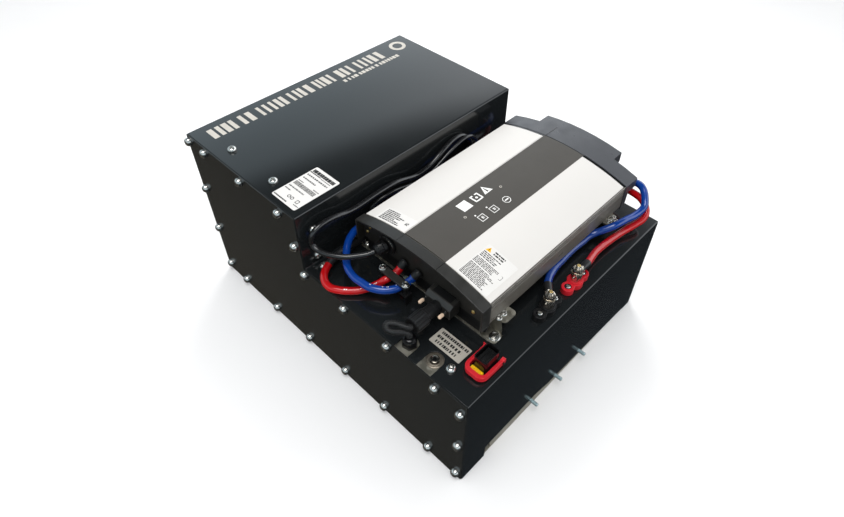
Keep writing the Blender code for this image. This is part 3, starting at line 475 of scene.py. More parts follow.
def print_rows(x_top, x_bottom, y_start, y_end, rows, seed, height=0.55):
    """Stand-in printing: rows of short bars. Rows go down from x_top, and each runs from y_start to y_end."""
    draw = random.Random(seed)
    bars = []
    pitch = (x_top - x_bottom) / rows
    for row in range(rows):
        x = x_top - pitch * (row + 0.5)
        y = y_start
        stop = y_start + (y_end - y_start) * draw.uniform(0.62, 1.0)
        while y > stop:
            word = min(draw.uniform(2.2, 7.0), y - stop)
            bars.append(rectangle(x - pitch * height / 2, y - word, x + pitch * height / 2, y))
            y -= word + 1.1
    return bars


# Fasteners


def button_head(shape, at, axis, radius=8.5, height=6.4, socket=2.9, spin=0.0):
    """A flanged button-head screw with a hexagon socket."""
    r, h, s = radius, height, socket
    shape.lathe(
        [
            (0, 0), (r * 0.96, 0), (r, 0.1 * h), (r * 0.98, 0.42 * h), (r * 0.9, 0.66 * h), (r * 0.74, 0.86 * h),
            (r * 0.55, 0.97 * h), (s * 1.28, h), (s, h * 0.98, 6), (s, h * 0.45, 6), (0, h * 0.4),
        ],
        at, axis, 36, spin,
    )


def dome_screw(shape, at, axis, spin=0.0):
    """A button-head screw with a tall domed head."""
    shape.lathe(
        [
            (0, 0), (8.2, 0), (8.6, 0.6), (8.5, 2.2), (8.0, 4.6),
            (6.8, 6.8), (5.2, 8.0), (3.8, 8.5), (2.9, 8.4, 6), (2.9, 5.7, 6), (0, 5.5),
        ],
        at, axis, 36, spin,
    )


def pan_head(shape, at, axis, radius=4.0, height=2.6, spin=0.0):
    """A small pan-head screw with a round dimple in its top."""
    shape.lathe([(0, 0), (radius, 0), (radius, height * 0.45), (radius * 0.8, height * 0.85), (radius * 0.3, height),
                 (radius * 0.24, height * 0.6), (0, height * 0.5)], at, axis, 24, spin)


def hex_head(shape, at, axis, apothem, height, flange=0.0, spin=0.0):
    """A bolt head or a nut with chamfered corners, on a flange if it has one."""
    corner = apothem * 1.13
    profile = [(0, 0)]
    if flange:
        profile += [(flange, 0), (flange, 0.9), (flange * 0.88, 1.7)]
    profile += [(apothem * 0.98, 1.7 if flange else 0, 6, corner * 0.96), (apothem, 2.4 if flange else 0.7, 6, corner)]
    profile += [(apothem, height - 0.9, 6, corner), (apothem, height - 0.25, 6, corner * 0.93)]
    profile += [(apothem * 0.9, height), (apothem * 0.62, height), (apothem * 0.6, height - 0.5), (0, height - 0.6)]
    shape.lathe(profile, at, axis, 36, spin)


def thread(shape, at, axis, radius, length, pitch=1.25, tip=1.0):
    """A threaded rod with a chamfered tip."""
    profile = [(0, 0), (radius, 0)]
    turns = int((length - tip) / pitch)
    for k in range(turns):
        z = k * pitch
        profile += [(radius, z + 0.1), (radius - 0.62 * pitch * 0.9, z + pitch * 0.5), (radius, z + pitch * 0.95)]
    profile += [(radius - 1.1, length), (0, length)]
    shape.lathe(profile, at, axis, 24)


def knurled(shape, at, axis, radius, length, ribs, depth, bore=0.0):
    """A grip with square ribs along its length and chamfered ends."""
    place = Matrix.Translation(Vector(at)) @ facing(axis)
    rings = []
    for r, z in ((radius - depth - 0.6, 0), (radius, 1.2), (radius, length - 1.4), (radius - depth - 0.8, length)):
        loop = []
        for i in range(ribs * 4):
            a = 2 * math.pi * (i + (0.25 if i % 4 in (0, 2) else -0.25)) / (ribs * 4)
            out = min(r, radius) if i % 4 < 2 else min(r, radius - depth)
            loop.append(place @ Vector((out * math.cos(a), out * math.sin(a), z)))
        rings.append(loop)
    if bore:
        for z in (length, length - 3):
            angles = [2 * math.pi * i / (ribs * 4) for i in range(ribs * 4)]
            rings.append([place @ Vector((bore * math.cos(a), bore * math.sin(a), z)) for a in angles])
    shape._rings(rings)


# Box

END_SCREWS = (
    [(356, 359.5), (303.5, 359.5), (187.5, 359), (73.5, 357.5)]
    + [(349, 246.5), (350, 134.5), (347, 23.5)]
    + [(y, 15.5) for y in (286.5, 172.5, 59.5, -54.5, -166.5, -282)]
    + [(-349.5, 15.5), (-349.5, 115), (-349.5, 217)]
    + [(28, 235.5), (-80, 234.5), (-187, 232.5), (-295, 229.5)]
    + [(42.5, 299)]
)


def l_outline(inset):
    """The box seen from its end, drawn in by an inset."""
    back = COVER_HIGH.y
    return [
        (FRONT_Y + inset, inset), (back - inset, inset), (back - inset, TOP_Z - inset),
        (RISER_Y + inset, TOP_Z - inset), (RISER_Y + inset, STEP_Z - inset), (FRONT_Y + inset, STEP_Z - inset),
    ]


def make_box():
    refined("main_cover", "paint", 0.5, 2, sharp=40)
    refined("end_panel_near", "paint", 0.7, 2)
    refined("end_panel_far", "paint", 0.7, 2)
    refined("base_tray", "bare_steel", 0.4, 1)
    refined("gland_plate", "galvanised", 0.3, 1)
    draw = random.Random(4)
    turn = Matrix(((0, 0, 1, 0), (1, 0, 0, 0), (0, 1, 0, 0), (0, 0, 0, 1)))
    for side, name in ((-1, "near"), (1, "far")):
        low, high = cad_range(f"end_screws_{name}")
        inner, outer = (low.x, high.x) if side > 0 else (high.x, low.x)
        shape = Shape()
        edge = side * (abs(inner) + 4)
        loops = (l_outline(5.0), l_outline(31.0))
        shape.band(*loops, *sorted((inner, edge)))
        shape.move(turn)
        face = side * (END_X + 0.1)
        for y, z in END_SCREWS:
            shape.lathe([(0, 0), (3.7, 0), (3.7, 9), (0, 9)], (inner + side * 1.5, y, z), (side, 0, 0), 12)
            dome_screw(shape, (face, y, z), (side, 0, 0), draw.uniform(0, 1.05))
        shape.make(f"end_screws_{name}_finished", "zinc", replaces=(f"end_screws_{name}",))


def make_box_fasteners():
    spots = {"top_screw_1": 0.3, "top_screw_2": 0.9, "step_screw": 0.5}
    for node, spin in spots.items():
        low, high = cad_range(node)
        shape = Shape()
        button_head(shape, ((low.x + high.x) / 2, (low.y + high.y) / 2, low.z - 0.2), (0, 0, 1), spin=spin)
        shape.make(f"{node}_finished", "zinc", replaces=(node,))
    shape = Shape()
    for z, spin in ((329, 0.2), (267, 0.7)):
        button_head(shape, (-247, RISER_Y - 0.1, z), (0, -1, 0), spin=spin)
    shape.make("riser_screws", "zinc")
    shape = Shape()
    button_head(shape, (-248.6, 9.7, STEP_Z + 0.1), (0, 0, 1), spin=0.4)
    shape.make("step_rear_screw", "zinc")
    for i in (1, 2, 3):
        node = f"front_stud_{i}"
        low, high = cad_range(node)
        x, z = (low.x + high.x) / 2, (low.z + high.z) / 2
        shape = Shape()
        hex_head(shape, (x, high.y, z), (0, -1, 0), 6.9, 4.0)
        thread(shape, (x, high.y - 3.5, z), (0, -1, 0), 3.9, high.y - 3.5 - low.y)
        shape.make(f"{node}_finished", "thread", replaces=(node,))


def make_banner():
    """Plain bars and a ring stand in for the printed name on the roof."""
    draw = random.Random(12)
    bars = []
    x = -250.0
    for group in (4, 2, 5, 4, 4, 3, 5):
        for _ in range(group):
            width = draw.choice((6.5, 6.5, 8.5, 11.0))
            if x + width > 210:
                break
            bars.append(rectangle(x, 307, x + width, 341))
            x += width + draw.choice((4.5, 6.0, 8.0))
        x += 7.0
    small = []
    x = 52.0
    while x < 208:
        width = draw.uniform(4.5, 8.5)
        small.append(rectangle(x, 289, min(x + width, 213), 299))
        x += width + draw.choice((2.2, 2.2, 5.5))
    decal("roof_banner", [*bars, *small], "print", TOP_Z + 0.02)
    shape = Shape()
    middle = (238, 326)
    shape.band(ring(middle, 19.5, 40), ring(middle, 11.5, 40), TOP_Z + 0.02, TOP_Z + 0.14)
    shape.make("roof_banner_ring", "print")


def make_roof_label():
    """The rating label on the roof, with bars for its printing."""
    x0, x1, y0, y1 = -267.0, -168.0, 42.0, 106.0
    z = TOP_Z + 0.02
    decal("roof_label", [rounded(x0, y0, x1, y1, 3.5)], "label", z, 0.2)

    def strip(a, b, start, end, cells, seed, fill=0.75):
        """Bars between two shares of the label's length, over a share of its width."""
        draw = random.Random(seed)
        made = []
        at = start
        while at < end:
            step = (end - start) / cells * draw.uniform(0.5, 1.5)
            stop = min(at + step * fill, end)
            made.append(rectangle(x0 + a * (x1 - x0), y1 - stop * (y1 - y0), x0 + b * (x1 - x0), y1 - at * (y1 - y0)))
            at += step
        return made

    dark = strip(0.862, 0.94, 0.05, 0.93, 10, 1, 0.9) + strip(0.83, 0.85, 0.02, 0.46, 1, 2, 1.0)
    dark += strip(0.82, 0.836, 0.5, 0.88, 9, 2, 0.8) + strip(0.43, 0.522, 0.06, 0.9, 26, 3, 0.62)
    dark += strip(0.035, 0.062, 0.03, 0.56, 12, 10, 0.82)
    grey = strip(0.742, 0.776, 0.05, 0.9, 14, 5, 0.7) + strip(0.64, 0.67, 0.07, 0.6, 9, 6)
    grey += strip(0.545, 0.565, 0.07, 0.28, 5, 7) + strip(0.545, 0.565, 0.7, 0.93, 5, 11)
    grey += strip(0.345, 0.372, 0.05, 0.68, 11, 8) + strip(0.262, 0.288, 0.05, 0.28, 4, 9)
    grey += strip(0.08, 0.1, 0.78, 0.98, 4, 12)
    decal("roof_label_heading", dark, "ink", z + 0.2, 0.05)
    decal("roof_label_rows", grey, "grey_ink", z + 0.2, 0.05)
    shape = Shape()
    for y in (78, 70):
        shape.band(ring((-250, y), 3.6, 24), ring((-250, y), 2.2, 24), z + 0.2, z + 0.25)
    shape.band(rounded(-254, 52, -246, 59, 1), rounded(-252.8, 53.2, -247.2, 57.8, 0.5), z + 0.2, z + 0.25)
    shape.make("roof_label_marks", "ink")


def make_instruction_plate():
    refined("instruction_plate", "plate", 0.25, 1)
    low, high = cad_range("instruction_plate")
    rows = []
    for share, start, end, seed in ((0.8, 0.1, 0.95, 1), (0.5, 0.08, 0.86, 2), (0.21, 0.14, 0.8, 3)):
        x = low.x + share * (high.x - low.x)
        draw = random.Random(seed)
        y = high.y - start * (high.y - low.y)
        stop = high.y - end * (high.y - low.y)
        while y > stop:
            word = min(draw.uniform(1.8, 4.2), y - stop)
            rows.append(rectangle(x - 2.7, y - word, x + 2.7, y))
            y -= word + draw.choice((0.9, 0.9, 2.4))
    decal("instruction_plate_rows", rows, "ink", high.z + 0.01, 0.05)


# Charger

STRIP_Y = (-203.0, -111.0)
PANEL_X = (-161.5, 217.6)


def crown_arc(y_from, y_to, extra, steps=16):
    """Points (y, z) over the roof between two Y positions, a distance above the bare shell."""
    radius = CROWN_R + extra
    low, high = (math.asin((y - CROWN_Y) / radius) for y in (y_from, y_to))
    angles = [low + (high - low) * i / steps for i in range(steps + 1)]
    return [(CROWN_Y + radius * math.sin(a), CROWN_CENTRE_Z + radius * math.cos(a)) for a in angles]


def sheet_over_roof(shape, x_low, x_high, y_from, y_to, under, over, steps=20):
    lower = crown_arc(y_from, y_to, under, steps)
    upper = crown_arc(y_from, y_to, over, steps)
    shape.prism([*lower, *upper[::-1]], x_low, x_high, "YZ")


def make_charger_shell():
    """A tube with finely crowned roof, and side walls with a bead and two grooves."""
    low, high = cad_range("charger_body")
    front, rear, bottom = low.y, high.y, low.z
    arc = crown_arc(front + 0.05, rear - 0.05, 0, 40)
    top = arc[0][1]
    wall = [(0, 0), (0, 33), (0.9, 33.5), (0.9, 35), (0, 35.5), (0, 39), (1.2, 39.6), (1.2, 40.8), (0, 41.4)]
    wall = [(dy, bottom + dz) for dy, dz in wall] + [(0, top)]
    loop = [(front + dy, z) for dy, z in wall] + arc + [(rear - dy, z) for dy, z in wall[::-1]]
    shape = Shape()
    shape.prism(loop, low.x, high.x, "YZ")
    shape.make("charger_body_finished", "shell", bevel=0.25, segments=1, replaces=("charger_body",))
    for node, y_from, y_to in (
        ("charger_panel_front", front + 2, STRIP_Y[0] - 0.15), ("charger_panel_rear", STRIP_Y[1] + 1.9, rear - 2),
    ):
        shape = Shape()
        sheet_over_roof(shape, *PANEL_X, y_from, y_to, 0.2, OVERLAY_LIFT)
        shape.make(f"{node}_finished", "overlay", bevel=0.3, segments=2, replaces=(node,))
    shape = Shape()
    sheet_over_roof(shape, *PANEL_X, STRIP_Y[1] + 0.3, STRIP_Y[1] + 1.5, 0.2, OVERLAY_LIFT - 0.2, 2)
    shape.make("charger_panel_trim", "overlay", bevel=0.2, segments=1)
    refined("charger_keypad", "keypad", 0.15, 1)
    # A gloss-black strip beyond the white sheets' far end paints the shadow gap between them and the far cap.
    shape = Shape()
    sheet_over_roof(shape, PANEL_X[1] - 0.2, high.x + 0.2, front + 1, STRIP_Y[0] - 0.15, 0.2, 1.2)
    sheet_over_roof(shape, PANEL_X[1] - 0.2, high.x + 0.2, STRIP_Y[1] + 0.3, rear - 1, 0.2, 1.2)
    shape.make("charger_panel_gap_painted_shadow", "gloss_black")
    # Two beads along the front wall, in a lighter copy of the shell metal that paints their bright highlight line.
    shape = Shape()
    shape.box((low.x + 2, front - 0.9, 328.2), (high.x, front + 0.6, 329.4))
    shape.box((low.x + 2, front - 0.7, 333.2), (high.x, front + 0.6, 334.4))
    shape.make("charger_side_beads", "shell_bead_painted_highlight", bevel=0.2, segments=1)


def make_keypad():
    """The printed symbols and the three keys."""
    symbols = [rectangle(-55.5, -149, -33.5, -127)]
    symbols += [rectangle(-23, -147.4, -20, -129), rectangle(-6.5, -147.4, -3.5, -129), rectangle(-23, -147.4, -3.5, -144.4)]
    symbols += [rectangle(-23, -132, -16, -129), rectangle(-10.5, -132, -3.5, -129), ring((-13.2, -138.4), 2.6, 20)]
    triangle = [(3, -144.2), (24, -144.2), (13.5, -124.2)]
    hole = [(11.6, -142.2), (15.4, -142.2), (14.3, -130.2), (12.7, -130.2)]
    dots = [ring((-50, -167.6), 1.7, 16), ring((-20.5, -167.6), 1.7, 16)]
    lift = lambda y: roof(y, 0.02)
    decal("keypad_symbols", [*symbols, triangle, *dots], "white_print", lift, 0.08)
    decal("keypad_symbol_bar", [hole], "keypad", lambda y: roof(y, 0.1), 0.06)
    shape = Shape()
    for x in (-65, 38.6):
        place = (x, -158 if x < 0 else -150)
        shape.band(ring(place, 2.6, 24), ring(place, 1.6, 24), roof(place[1]) - 0.1, roof(place[1]) + 0.12)
    shape.make("keypad_lamps", "print")
    for node in ("key_f1", "key_f2", "key_stop"):
        low, high = cad_range(node)
        x, y = (low.x + high.x) / 2, (low.y + high.y) / 2
        half = 8.72
        shape = Shape()
        sheet_over_roof(shape, x - half, x + half, y - half, y + half, 0.9, OVERLAY_LIFT, 4)
        shape.make(f"{node}_finished", "keypad", node, replaces=(node,))
        shape = Shape()
        if node == "key_stop":
            outer, inner = ring((0, 0), 8.3, 8, math.pi / 8), ring((0, 0), 7.1, 8, math.pi / 8)
        else:
            outer, inner = rectangle(-7.2, -7.2, 7.2, 7.2), rectangle(-6.1, -6.1, 6.1, 6.1)
        shape.band(outer, inner, -0.03, 0.08)
        if node == "key_stop":
            shape.box((-4.4, -1.3, -0.03), (4.4, 1.3, 0.08))
        else:
            shape.box((-1.2, -2.8, -0.03), (0.6, 2.8, 0.08))
            shape.box((1.6, -2.8, -0.03), (2.6, 2.8, 0.08))
        slope = -math.atan2(y - CROWN_Y, CROWN_R)
        shape.move(Matrix.Translation((x, y, roof(y))) @ Matrix.Rotation(slope, 4, "X"))
        shape.make(f"{node}_print", "white_print", node)


def make_charger_labels():
    """The small rating label and the safety label, with bars for their printing."""
    x0, x1, y0, y1 = -160.0, -80.0, -287.0, -225.0
    decal("safety_label", [rounded(x0, y0, x1, y1, 2)], "label", lambda y: roof(y, 0.02), 0.12)
    top = lambda y: roof(y, 0.14)
    dense = print_rows(-127, -157, y1 - 2, y0 + 3, 11, 21, 0.52) + print_rows(-111, -125, y1 - 2, y0 + 14, 5, 22, 0.5)
    light = print_rows(-95, -109, y1 - 3, y0 + 22, 4, 23, 0.5)
    heading = print_rows(-83, -93, y0 + 44, y0 + 20, 2, 24, 0.55)
    decal("safety_label_rows", [*dense, *light, *heading], "ink", top, 0.05)
    triangle = [(-93, -238), (-93, -227.5), (-83.5, -232.8)]
    decal("safety_label_sign", [triangle], "signal_yellow", top, 0.08)
    decal("safety_label_sign_mark", [rectangle(-91.5, -233.3, -86.5, -232.2)], "ink", lambda y: roof(y, 0.22), 0.05)
    shape = Shape()
    shape.band(rounded(0, 0, 9, 9, 1), rounded(0.6, 0.6, 8.4, 8.4, 0.6), -0.02, 0.05)
    slope = -math.atan2(-276 - CROWN_Y, CROWN_R)
    shape.move(Matrix.Translation((-121, -282, roof(-282, 0.14))) @ Matrix.Rotation(slope, 4, "X"))
    shape.make("safety_label_frame", "ink")
    x0, x1, y0, y1 = -160.5, -127.0, -108.0, -36.0
    decal("charger_label", [rounded(x0, y0, x1, y1, 2)], "label", lambda y: roof(y, 0.02), 0.1)
    rows = print_rows(-130, -158, y1 - 5, y0 + 20, 7, 31, 0.6)
    squares = []
    draw = random.Random(9)
    for i in range(6):
        for k in range(6):
            if draw.random() < 0.62:
                squares.append(rectangle(-147 + 1.1 * i, -101 + 1.1 * k, -146 + 1.1 * i, -100 + 1.1 * k))
    decal("charger_label_rows", [*rows, *squares], "ink", lambda y: roof(y, 0.12), 0.05)


def cap_seam(name, x_from, x_to, y, extra, width=0.5):
    """A fine dark joint across a cap's roof."""
    shape = Shape()
    sheet_over_roof(shape, x_from, x_to, y - width / 2, y + width / 2, extra - 1.0, extra + 0.06, 2)
    shape.make(name, "gloss_black")


def make_caps():
    refined("charger_cap_near", "cap", 0.9, 3, sharp=25)
    refined("charger_cap_far", "far_cap", 1.0, 3, sharp=25)
    near_low, near_high = cad_range("charger_cap_near")
    far_low, far_high = cad_range("charger_cap_far")
    for i, y in enumerate((-113.0, -203.0)):
        cap_seam(f"near_cap_seam_{i + 1}", near_low.x + 0.8, near_high.x, y, 2.0)
    cap_seam("far_cap_seam", far_low.x + 0.2, far_high.x - 29, -113.0, 2.0, 1.9)
    shape = Shape()
    sheet_over_roof(shape, far_low.x - 0.2, far_low.x + 3.2, far_low.y + 1.5, -203.5, 1.5, 3.4, 12)
    shape.make("far_cap_lip", "far_cap", bevel=0.5)
    # A black sheet under the near cap's end paints the deep shade there and hides the bracket.
    shape = Shape()
    skirt = [(-300, 287), (-300, 274), (-297, 264), (-290, 257), (-278, 253.6), (-16, 253.6), (-16, 287)]
    shape.prism(skirt, -165.4, -163.2, "YZ")
    shape.make("near_cap_shade_skirt", "black", bevel=0.4)
    screws = Shape()
    for y, z in ((-30, 318), (-22, 303), (-272, 297), (-296.5, 316)):
        pan_head(screws, (-168.2, y, z), (-1, 0, 0), 3.6, 2.2)
    screws.make("near_cap_screws", "brass")


def make_brackets():
    refined("bracket_near", "galvanised", 0.4, 2, corner=7)
    refined("bracket_far", "galvanised", 0.4, 2, corner=7)
    for i in (1, 2, 3, 4):
        node = f"bracket_bolt_{i}"
        low, high = cad_range(node)
        at = ((low.x + high.x) / 2, (low.y + high.y) / 2, low.z - 0.2)
        shape = Shape()
        hex_head(shape, at, (0, 0, 1), 6.2, high.z - low.z + 1.4, 9.4, spin=0.3 * i)
        shape.make(f"{node}_finished", "zinc", replaces=(node,))
    wing_top = cad_range("bracket_near")[1].z
    shape = Shape()
    for x, y in ((-129, -303), (-141, -303), (173, -308), (187, -308)):
        hex_head(shape, (x, y, wing_top), (0, 0, 1), 4.0, 4.2, 5.8, spin=x)
    shape.make("bracket_wing_screws", "zinc")


# Power terminals

POST_LOBE = 14.5
EAR_LOBE = 11.5
EAR_OFFSET = 22.0
LOBE_BLEND = 1.5
LUG_PALM_RISE = 4.2
LUG_WAY = {"neg": Vector((26, 22, 0)).normalized(), "pos": Vector((1, 0, 0))}


def lobed_outline(x, y, inset=0.0):
    """Three round lobes in a row, each blended into the next."""
    lobes = ((0, POST_LOBE), (EAR_OFFSET, EAR_LOBE), (-EAR_OFFSET, EAR_LOBE))
    points = []
    for i in range(96):
        a = 2 * math.pi * i / 96
        across, along = math.cos(a), math.sin(a)
        reach = 40.0
        while True:
            gaps = (math.hypot(reach * across - d, reach * along) - r for d, r in lobes)
            if -LOBE_BLEND * math.log(sum(math.exp(-gap / LOBE_BLEND) for gap in gaps)) <= -inset:
                break
            reach -= 0.1
        points.append((x + reach * across, y + reach * along))
    return points


def make_post_base(name, look):
    """A moulded base with one even top, a low round boss and a screw in each ear."""
    low, high = cad_range(f"post_base_{name}")
    x, y = (low.x + high.x) / 2, (low.y + high.y) / 2
    top = high.z - 2.2
    shape = Shape()
    shape.prism(lobed_outline(x, y), low.z, top)
    shape.make(f"post_base_{name}_finished", look, bevel=1.1, segments=3, replaces=(f"post_base_{name}",))
    shape = Shape()
    shape.lathe([(0, top - 1), (12.4, top - 1), (12.4, high.z - 0.5), (11.8, high.z), (0, high.z)], (x, y, 0), sides=48)
    shape.make(f"post_boss_{name}", look)
    # A gloss-black ring round each ear screw paints the shade in the screw's recess.
    recess_shades = Shape()
    screws = Shape()
    for side in (-1, 1):
        ear = (x + side * EAR_OFFSET, y)
        recess_shades.band(ring(ear, 6.2, 32), ring(ear, 4.4, 32), top - 0.4, top + 0.08)
        pan_head(screws, (*ear, top - 0.9), (0, 0, 1), 4.5, 2.3)
    recess_shades.make(f"post_recess_painted_shade_{name}", "gloss_black")
    screws.make(f"post_screws_{name}", "zinc")


def make_posts():
    for name, look in (("neg", "black"), ("pos", "red_plastic")):
        make_post_base(name, look)
        low, high = cad_range(f"post_stud_{name}")
        x, y = (low.x + high.x) / 2, (low.y + high.y) / 2
        lug_z = cad_range(f"lug_{name}")[0].z + LUG_PALM_RISE
        shape = Shape()
        hex_head(shape, (x, y, low.z), (0, 0, 1), 8.5, lug_z - 0.2 - low.z, spin=0.3)
        shape.make(f"post_collar_{name}", "stainless", replaces=(f"post_stud_{name}",))
        shape = Shape()
        shape.lathe([(0, 0), (10.4, 0), (10.4, 1.5), (5.2, 1.7), (0, 1.7)], (x, y, lug_z + 2.9), sides=40)
        shape.lathe([(0, 0), (8.2, 0), (8.2, 1.7), (5.2, 1.9), (0, 1.9)], (x, y, lug_z + 4.5), sides=40)
        hex_head(shape, (x, y, lug_z + 6.3), (0, 0, 1), 8.5, 6.6, spin=0.5)
        shape.make(f"post_nut_{name}", "stainless")
        shape = Shape()
        thread(shape, (x, y, lug_z + 8), (0, 0, 1), 4.8, high.z - lug_z - 8, 1.4)
        shape.lathe([(0, 0), (3.6, 0), (3.2, 0.25), (0, 0.3)], (x, y, high.z - 0.05), sides=24)
        shape.make(f"post_thread_{name}", "stainless")
        shape = Shape()
        shape.lathe([(0, 0), (3.4, 0), (3.0, 0.3), (0, 0.35)], (x, y, high.z + 0.2), sides=24)
        shape.make(f"post_tip_{name}", "brass")
        make_lug(name, Vector((x, y, lug_z)), LUG_WAY[name])


def make_lug(name, at, way):
    """A pressed cable lug: round palm, flattened neck and crimped barrel."""
    across = Vector((-way.y, way.x, 0))
    outer, inner = [], []
    for i in range(48):
        a = 2 * math.pi * i / 48
        reach = 10.5
        flat = way * math.cos(a) + across * math.sin(a)
        if math.cos(a) > 0.75:
            reach = 15.5 / math.cos(a) if abs(math.tan(a)) < 0.42 else 10.5 + (math.cos(a) - 0.75) * 20
        outer.append(tuple((at + flat * reach).xy))
        inner.append(tuple((at + flat * 5.2).xy))
    shape = Shape()
    shape.band(outer, inner, at.z, at.z + 2.8)
    start = at + way * 13 + Z_AXIS * 1.4
    path = [start + way * s for s in (0, 1.5, 3, 6, 9, 12)]
    radii = (2.6, 4.2, 5.3, 5.6, 5.6, 5.6)
    shape.tube(path, lambda share: radii[round(share * 5)], 24)
    shape.make(f"lug_{name}_finished", "stainless", bevel=0.3, segments=1, replaces=(f"lug_{name}",))


# Cables

RED_PATH = [
    (-170.5, -118, 297), (-174.5, -118, 296), (-184, -115.5, 284), (-194, -114, 279.4),
    (-203, -113.2, 279.2), (-211, -111.5, 279.1), (-221, -104, 270.5), (-234, -94, 263),
    (-250, -82, 259.5), (-266, -65, 259), (-276, -48, 259), (-277, -33, 259.5), (-271, -20, 261),
    (-260, -10, 262.5), (-244, -3, 264), (-220, 0.5, 266), (-180, 1, 267.5), (-60, 1, 267.5),
    (120, 1, 267.5), (220, 1, 270), (250, -5, 276), (266, -24, 282), (272, -60, 285),
    (272, -240, 287), (270, -285, 291), (264, -312, 294.5), (259, -328, 291.5), (251, -341, 283),
    (236, -346, 276), (215, -341, 271), (186, -333, 266.5), (139, -329, 270), (103, -329, 274),
    (79, -333, 278), (64, -336, 280.4), (55.6, -336, 280.4),
]
BLUE_PATH = [
    (-170.5, -152, 297), (-174.5, -151.6, 296), (-184, -146.5, 284.5), (-194, -142.5, 279.4),
    (-203, -140.5, 279.2), (-213, -138, 279.2), (-225, -130, 279.5), (-234, -119, 280),
    (-241, -104, 280), (-243, -88, 280), (-244, -71, 280), (-240, -52, 281), (-233, -38, 283),
    (-220, -23, 287), (-207, -12, 292), (-190, -3, 295), (-165, 1, 297), (-60, 1, 297),
    (120, 1, 297), (230, 1.5, 299), (256, -4, 301), (271, -20, 302), (276, -50, 303),
    (276, -250, 304), (276, -282, 308), (275, -301, 312), (270, -313.7, 312), (262, -324.2, 307.6),
    (250, -333.8, 301.8), (242, -338, 296.6), (230, -338, 293), (212, -335.9, 292),
    (195.4, -332, 293), (178.5, -328.6, 294), (161, -323.5, 292.5), (147.3, -313.4, 285.5),
    (136.5, -303.7, 278.5), (122.8, -297.9, 275), (105, -297, 273.5), (80, -296, 274.5),
    (55, -297, 275.5), (36.4, -298.7, 276), (22.9, -299.5, 276.5), (10.2, -301.5, 277.3),
    (-1.8, -304.7, 278.7), (-12.2, -308.2, 279.8), (-24.4, -314.3, 280.4), (-30.5, -319.5, 280.4),
]
MAINS_PATH = [
    (-197, -71, 308), (-206, -67.5, 306.8), (-214, -62.5, 306), (-226, -54.2, 306),
    (-237, -45.3, 306), (-248, -31, 306), (-257, -14.4, 306), (-261.6, 3.2, 308),
    (-262.1, 12.5, 314.5), (-261.5, 13.3, 326), (-256, 13.3, 335.5), (-244.6, 13.3, 341.3),
    (-225.6, 13.3, 342.8), (-203.2, 13.3, 339), (-184.2, 13.3, 334), (-164.3, 13.3, 331.5),
    (-143.6, 13.3, 332), (-122.6, 13.3, 333.3), (-97, 13.3, 333.6), (-74, 13.3, 332.6),
    (-56, 13.3, 329.5), (-37.5, 13.3, 323.5), (-19, 13.3, 317.7), (-2.7, 13.3, 316),
    (20, 13.3, 318.5), (37, 13.6, 323.5), (54, 14.6, 330.5), (78, 17.5, 337), (100, 20, 340),
    (122, 20.5, 337.5), (138, 20.5, 328), (148.5, 20.5, 314), (154, 20.5, 299), (158, 19, 283),
    (160.5, 15, 266), (161, 13.3, 252),
]
AUX_PATH = [
    (-128, 20, 252), (-127, 20, 285), (-124, 18, 303), (-113, 13, 315), (-97, 9.5, 320.5),
    (-80, 8, 321), (-60, 8, 317), (-40, 8, 311.5), (-19, 8, 307.5), (0, 8, 306), (20, 8, 307.5),
    (38, 8, 312.5), (55, 8, 319.5), (69, 8, 326), (90, 8, 333.5), (110, 8, 338.5), (128, 8, 338.5),
    (141, 8, 333.5), (152, 8, 323), (158.5, 9, 311), (165, 12.5, 297), (171, 16, 285),
    (177, 20, 270), (182, 22.6, 252),
]
COMM_PATH = [
    (-251, -216, 286), (-253.8, -216, 286.2), (-257.8, -212.5, 287.5), (-262.5, -203.5, 289.5),
    (-268, -194, 290.5), (-275, -187.8, 290.5), (-280, -188.5, 289), (-281.5, -194, 286.5), (-278, -201, 284),
    (-271, -206, 281.5), (-264, -210.8, 279), (-259, -215, 275.6), (-258, -218, 272),
    (-258, -218.5, 268.6),
]


def stretch_of(path, start, end):
    """The part of a path between two distances along it."""
    taken, walked = [], 0.0
    for a, b in zip(path, path[1:]):
        length = (b - a).length
        if walked + length >= start and walked <= end:
            if not taken:
                taken.append(a.lerp(b, max(0.0, (start - walked) / length)))
            taken.append(a.lerp(b, min(1.0, (end - walked) / length)))
        walked += length
    return taken


def path_length(path):
    return sum((b - a).length for a, b in zip(path, path[1:]))


def cable(node, look, points, radius):
    path = smooth_path(points)
    shape = Shape()
    shape.tube(path, radius, 20)
    shape.make(f"{node}_finished", look, bevel=0, sharp=60, replaces=(node,))
    return path


def cable_dashes(name, path, radius, groups, angle, seed):
    """Short pale dashes along a cable's upper side, in groups that start at given distances."""
    draw = random.Random(seed)
    shape = Shape()
    for start, count in groups:
        at = start
        for _ in range(count):
            length = draw.uniform(1.0, 2.6)
            piece_path = stretch_of(path, at, at + length)
            at += length + draw.uniform(0.8, 1.8)
            if len(piece_path) < 2 or draw.random() < 0.2:
                continue
            a, b = piece_path[0], piece_path[-1]
            way = (b - a).normalized()
            up = Z_AXIS - way * Z_AXIS.dot(way)
            up = Matrix.Rotation(angle, 3, way) @ up.normalized()
            side = way.cross(up)
            half = draw.choice((0.5, 0.9, 1.0))
            corners = []
            for lift in (radius - 0.25, radius + 0.03):
                for end in (a, b):
                    for s in (-half, half):
                        corners.append(shape.bm.verts.new(end + up * lift + side * s))
            low_a, low_b, low_c, low_d, top_a, top_b, top_c, top_d = corners
            for face in (
                (low_a, low_b, low_d, low_c), (top_a, top_c, top_d, top_b), (low_a, low_c, top_c, top_a),
                (low_b, top_b, top_d, low_d), (low_a, top_a, top_b, low_b), (low_c, low_d, top_d, top_c),
            ):
                shape.bm.faces.new(face)
    shape.make(name, "white_print")


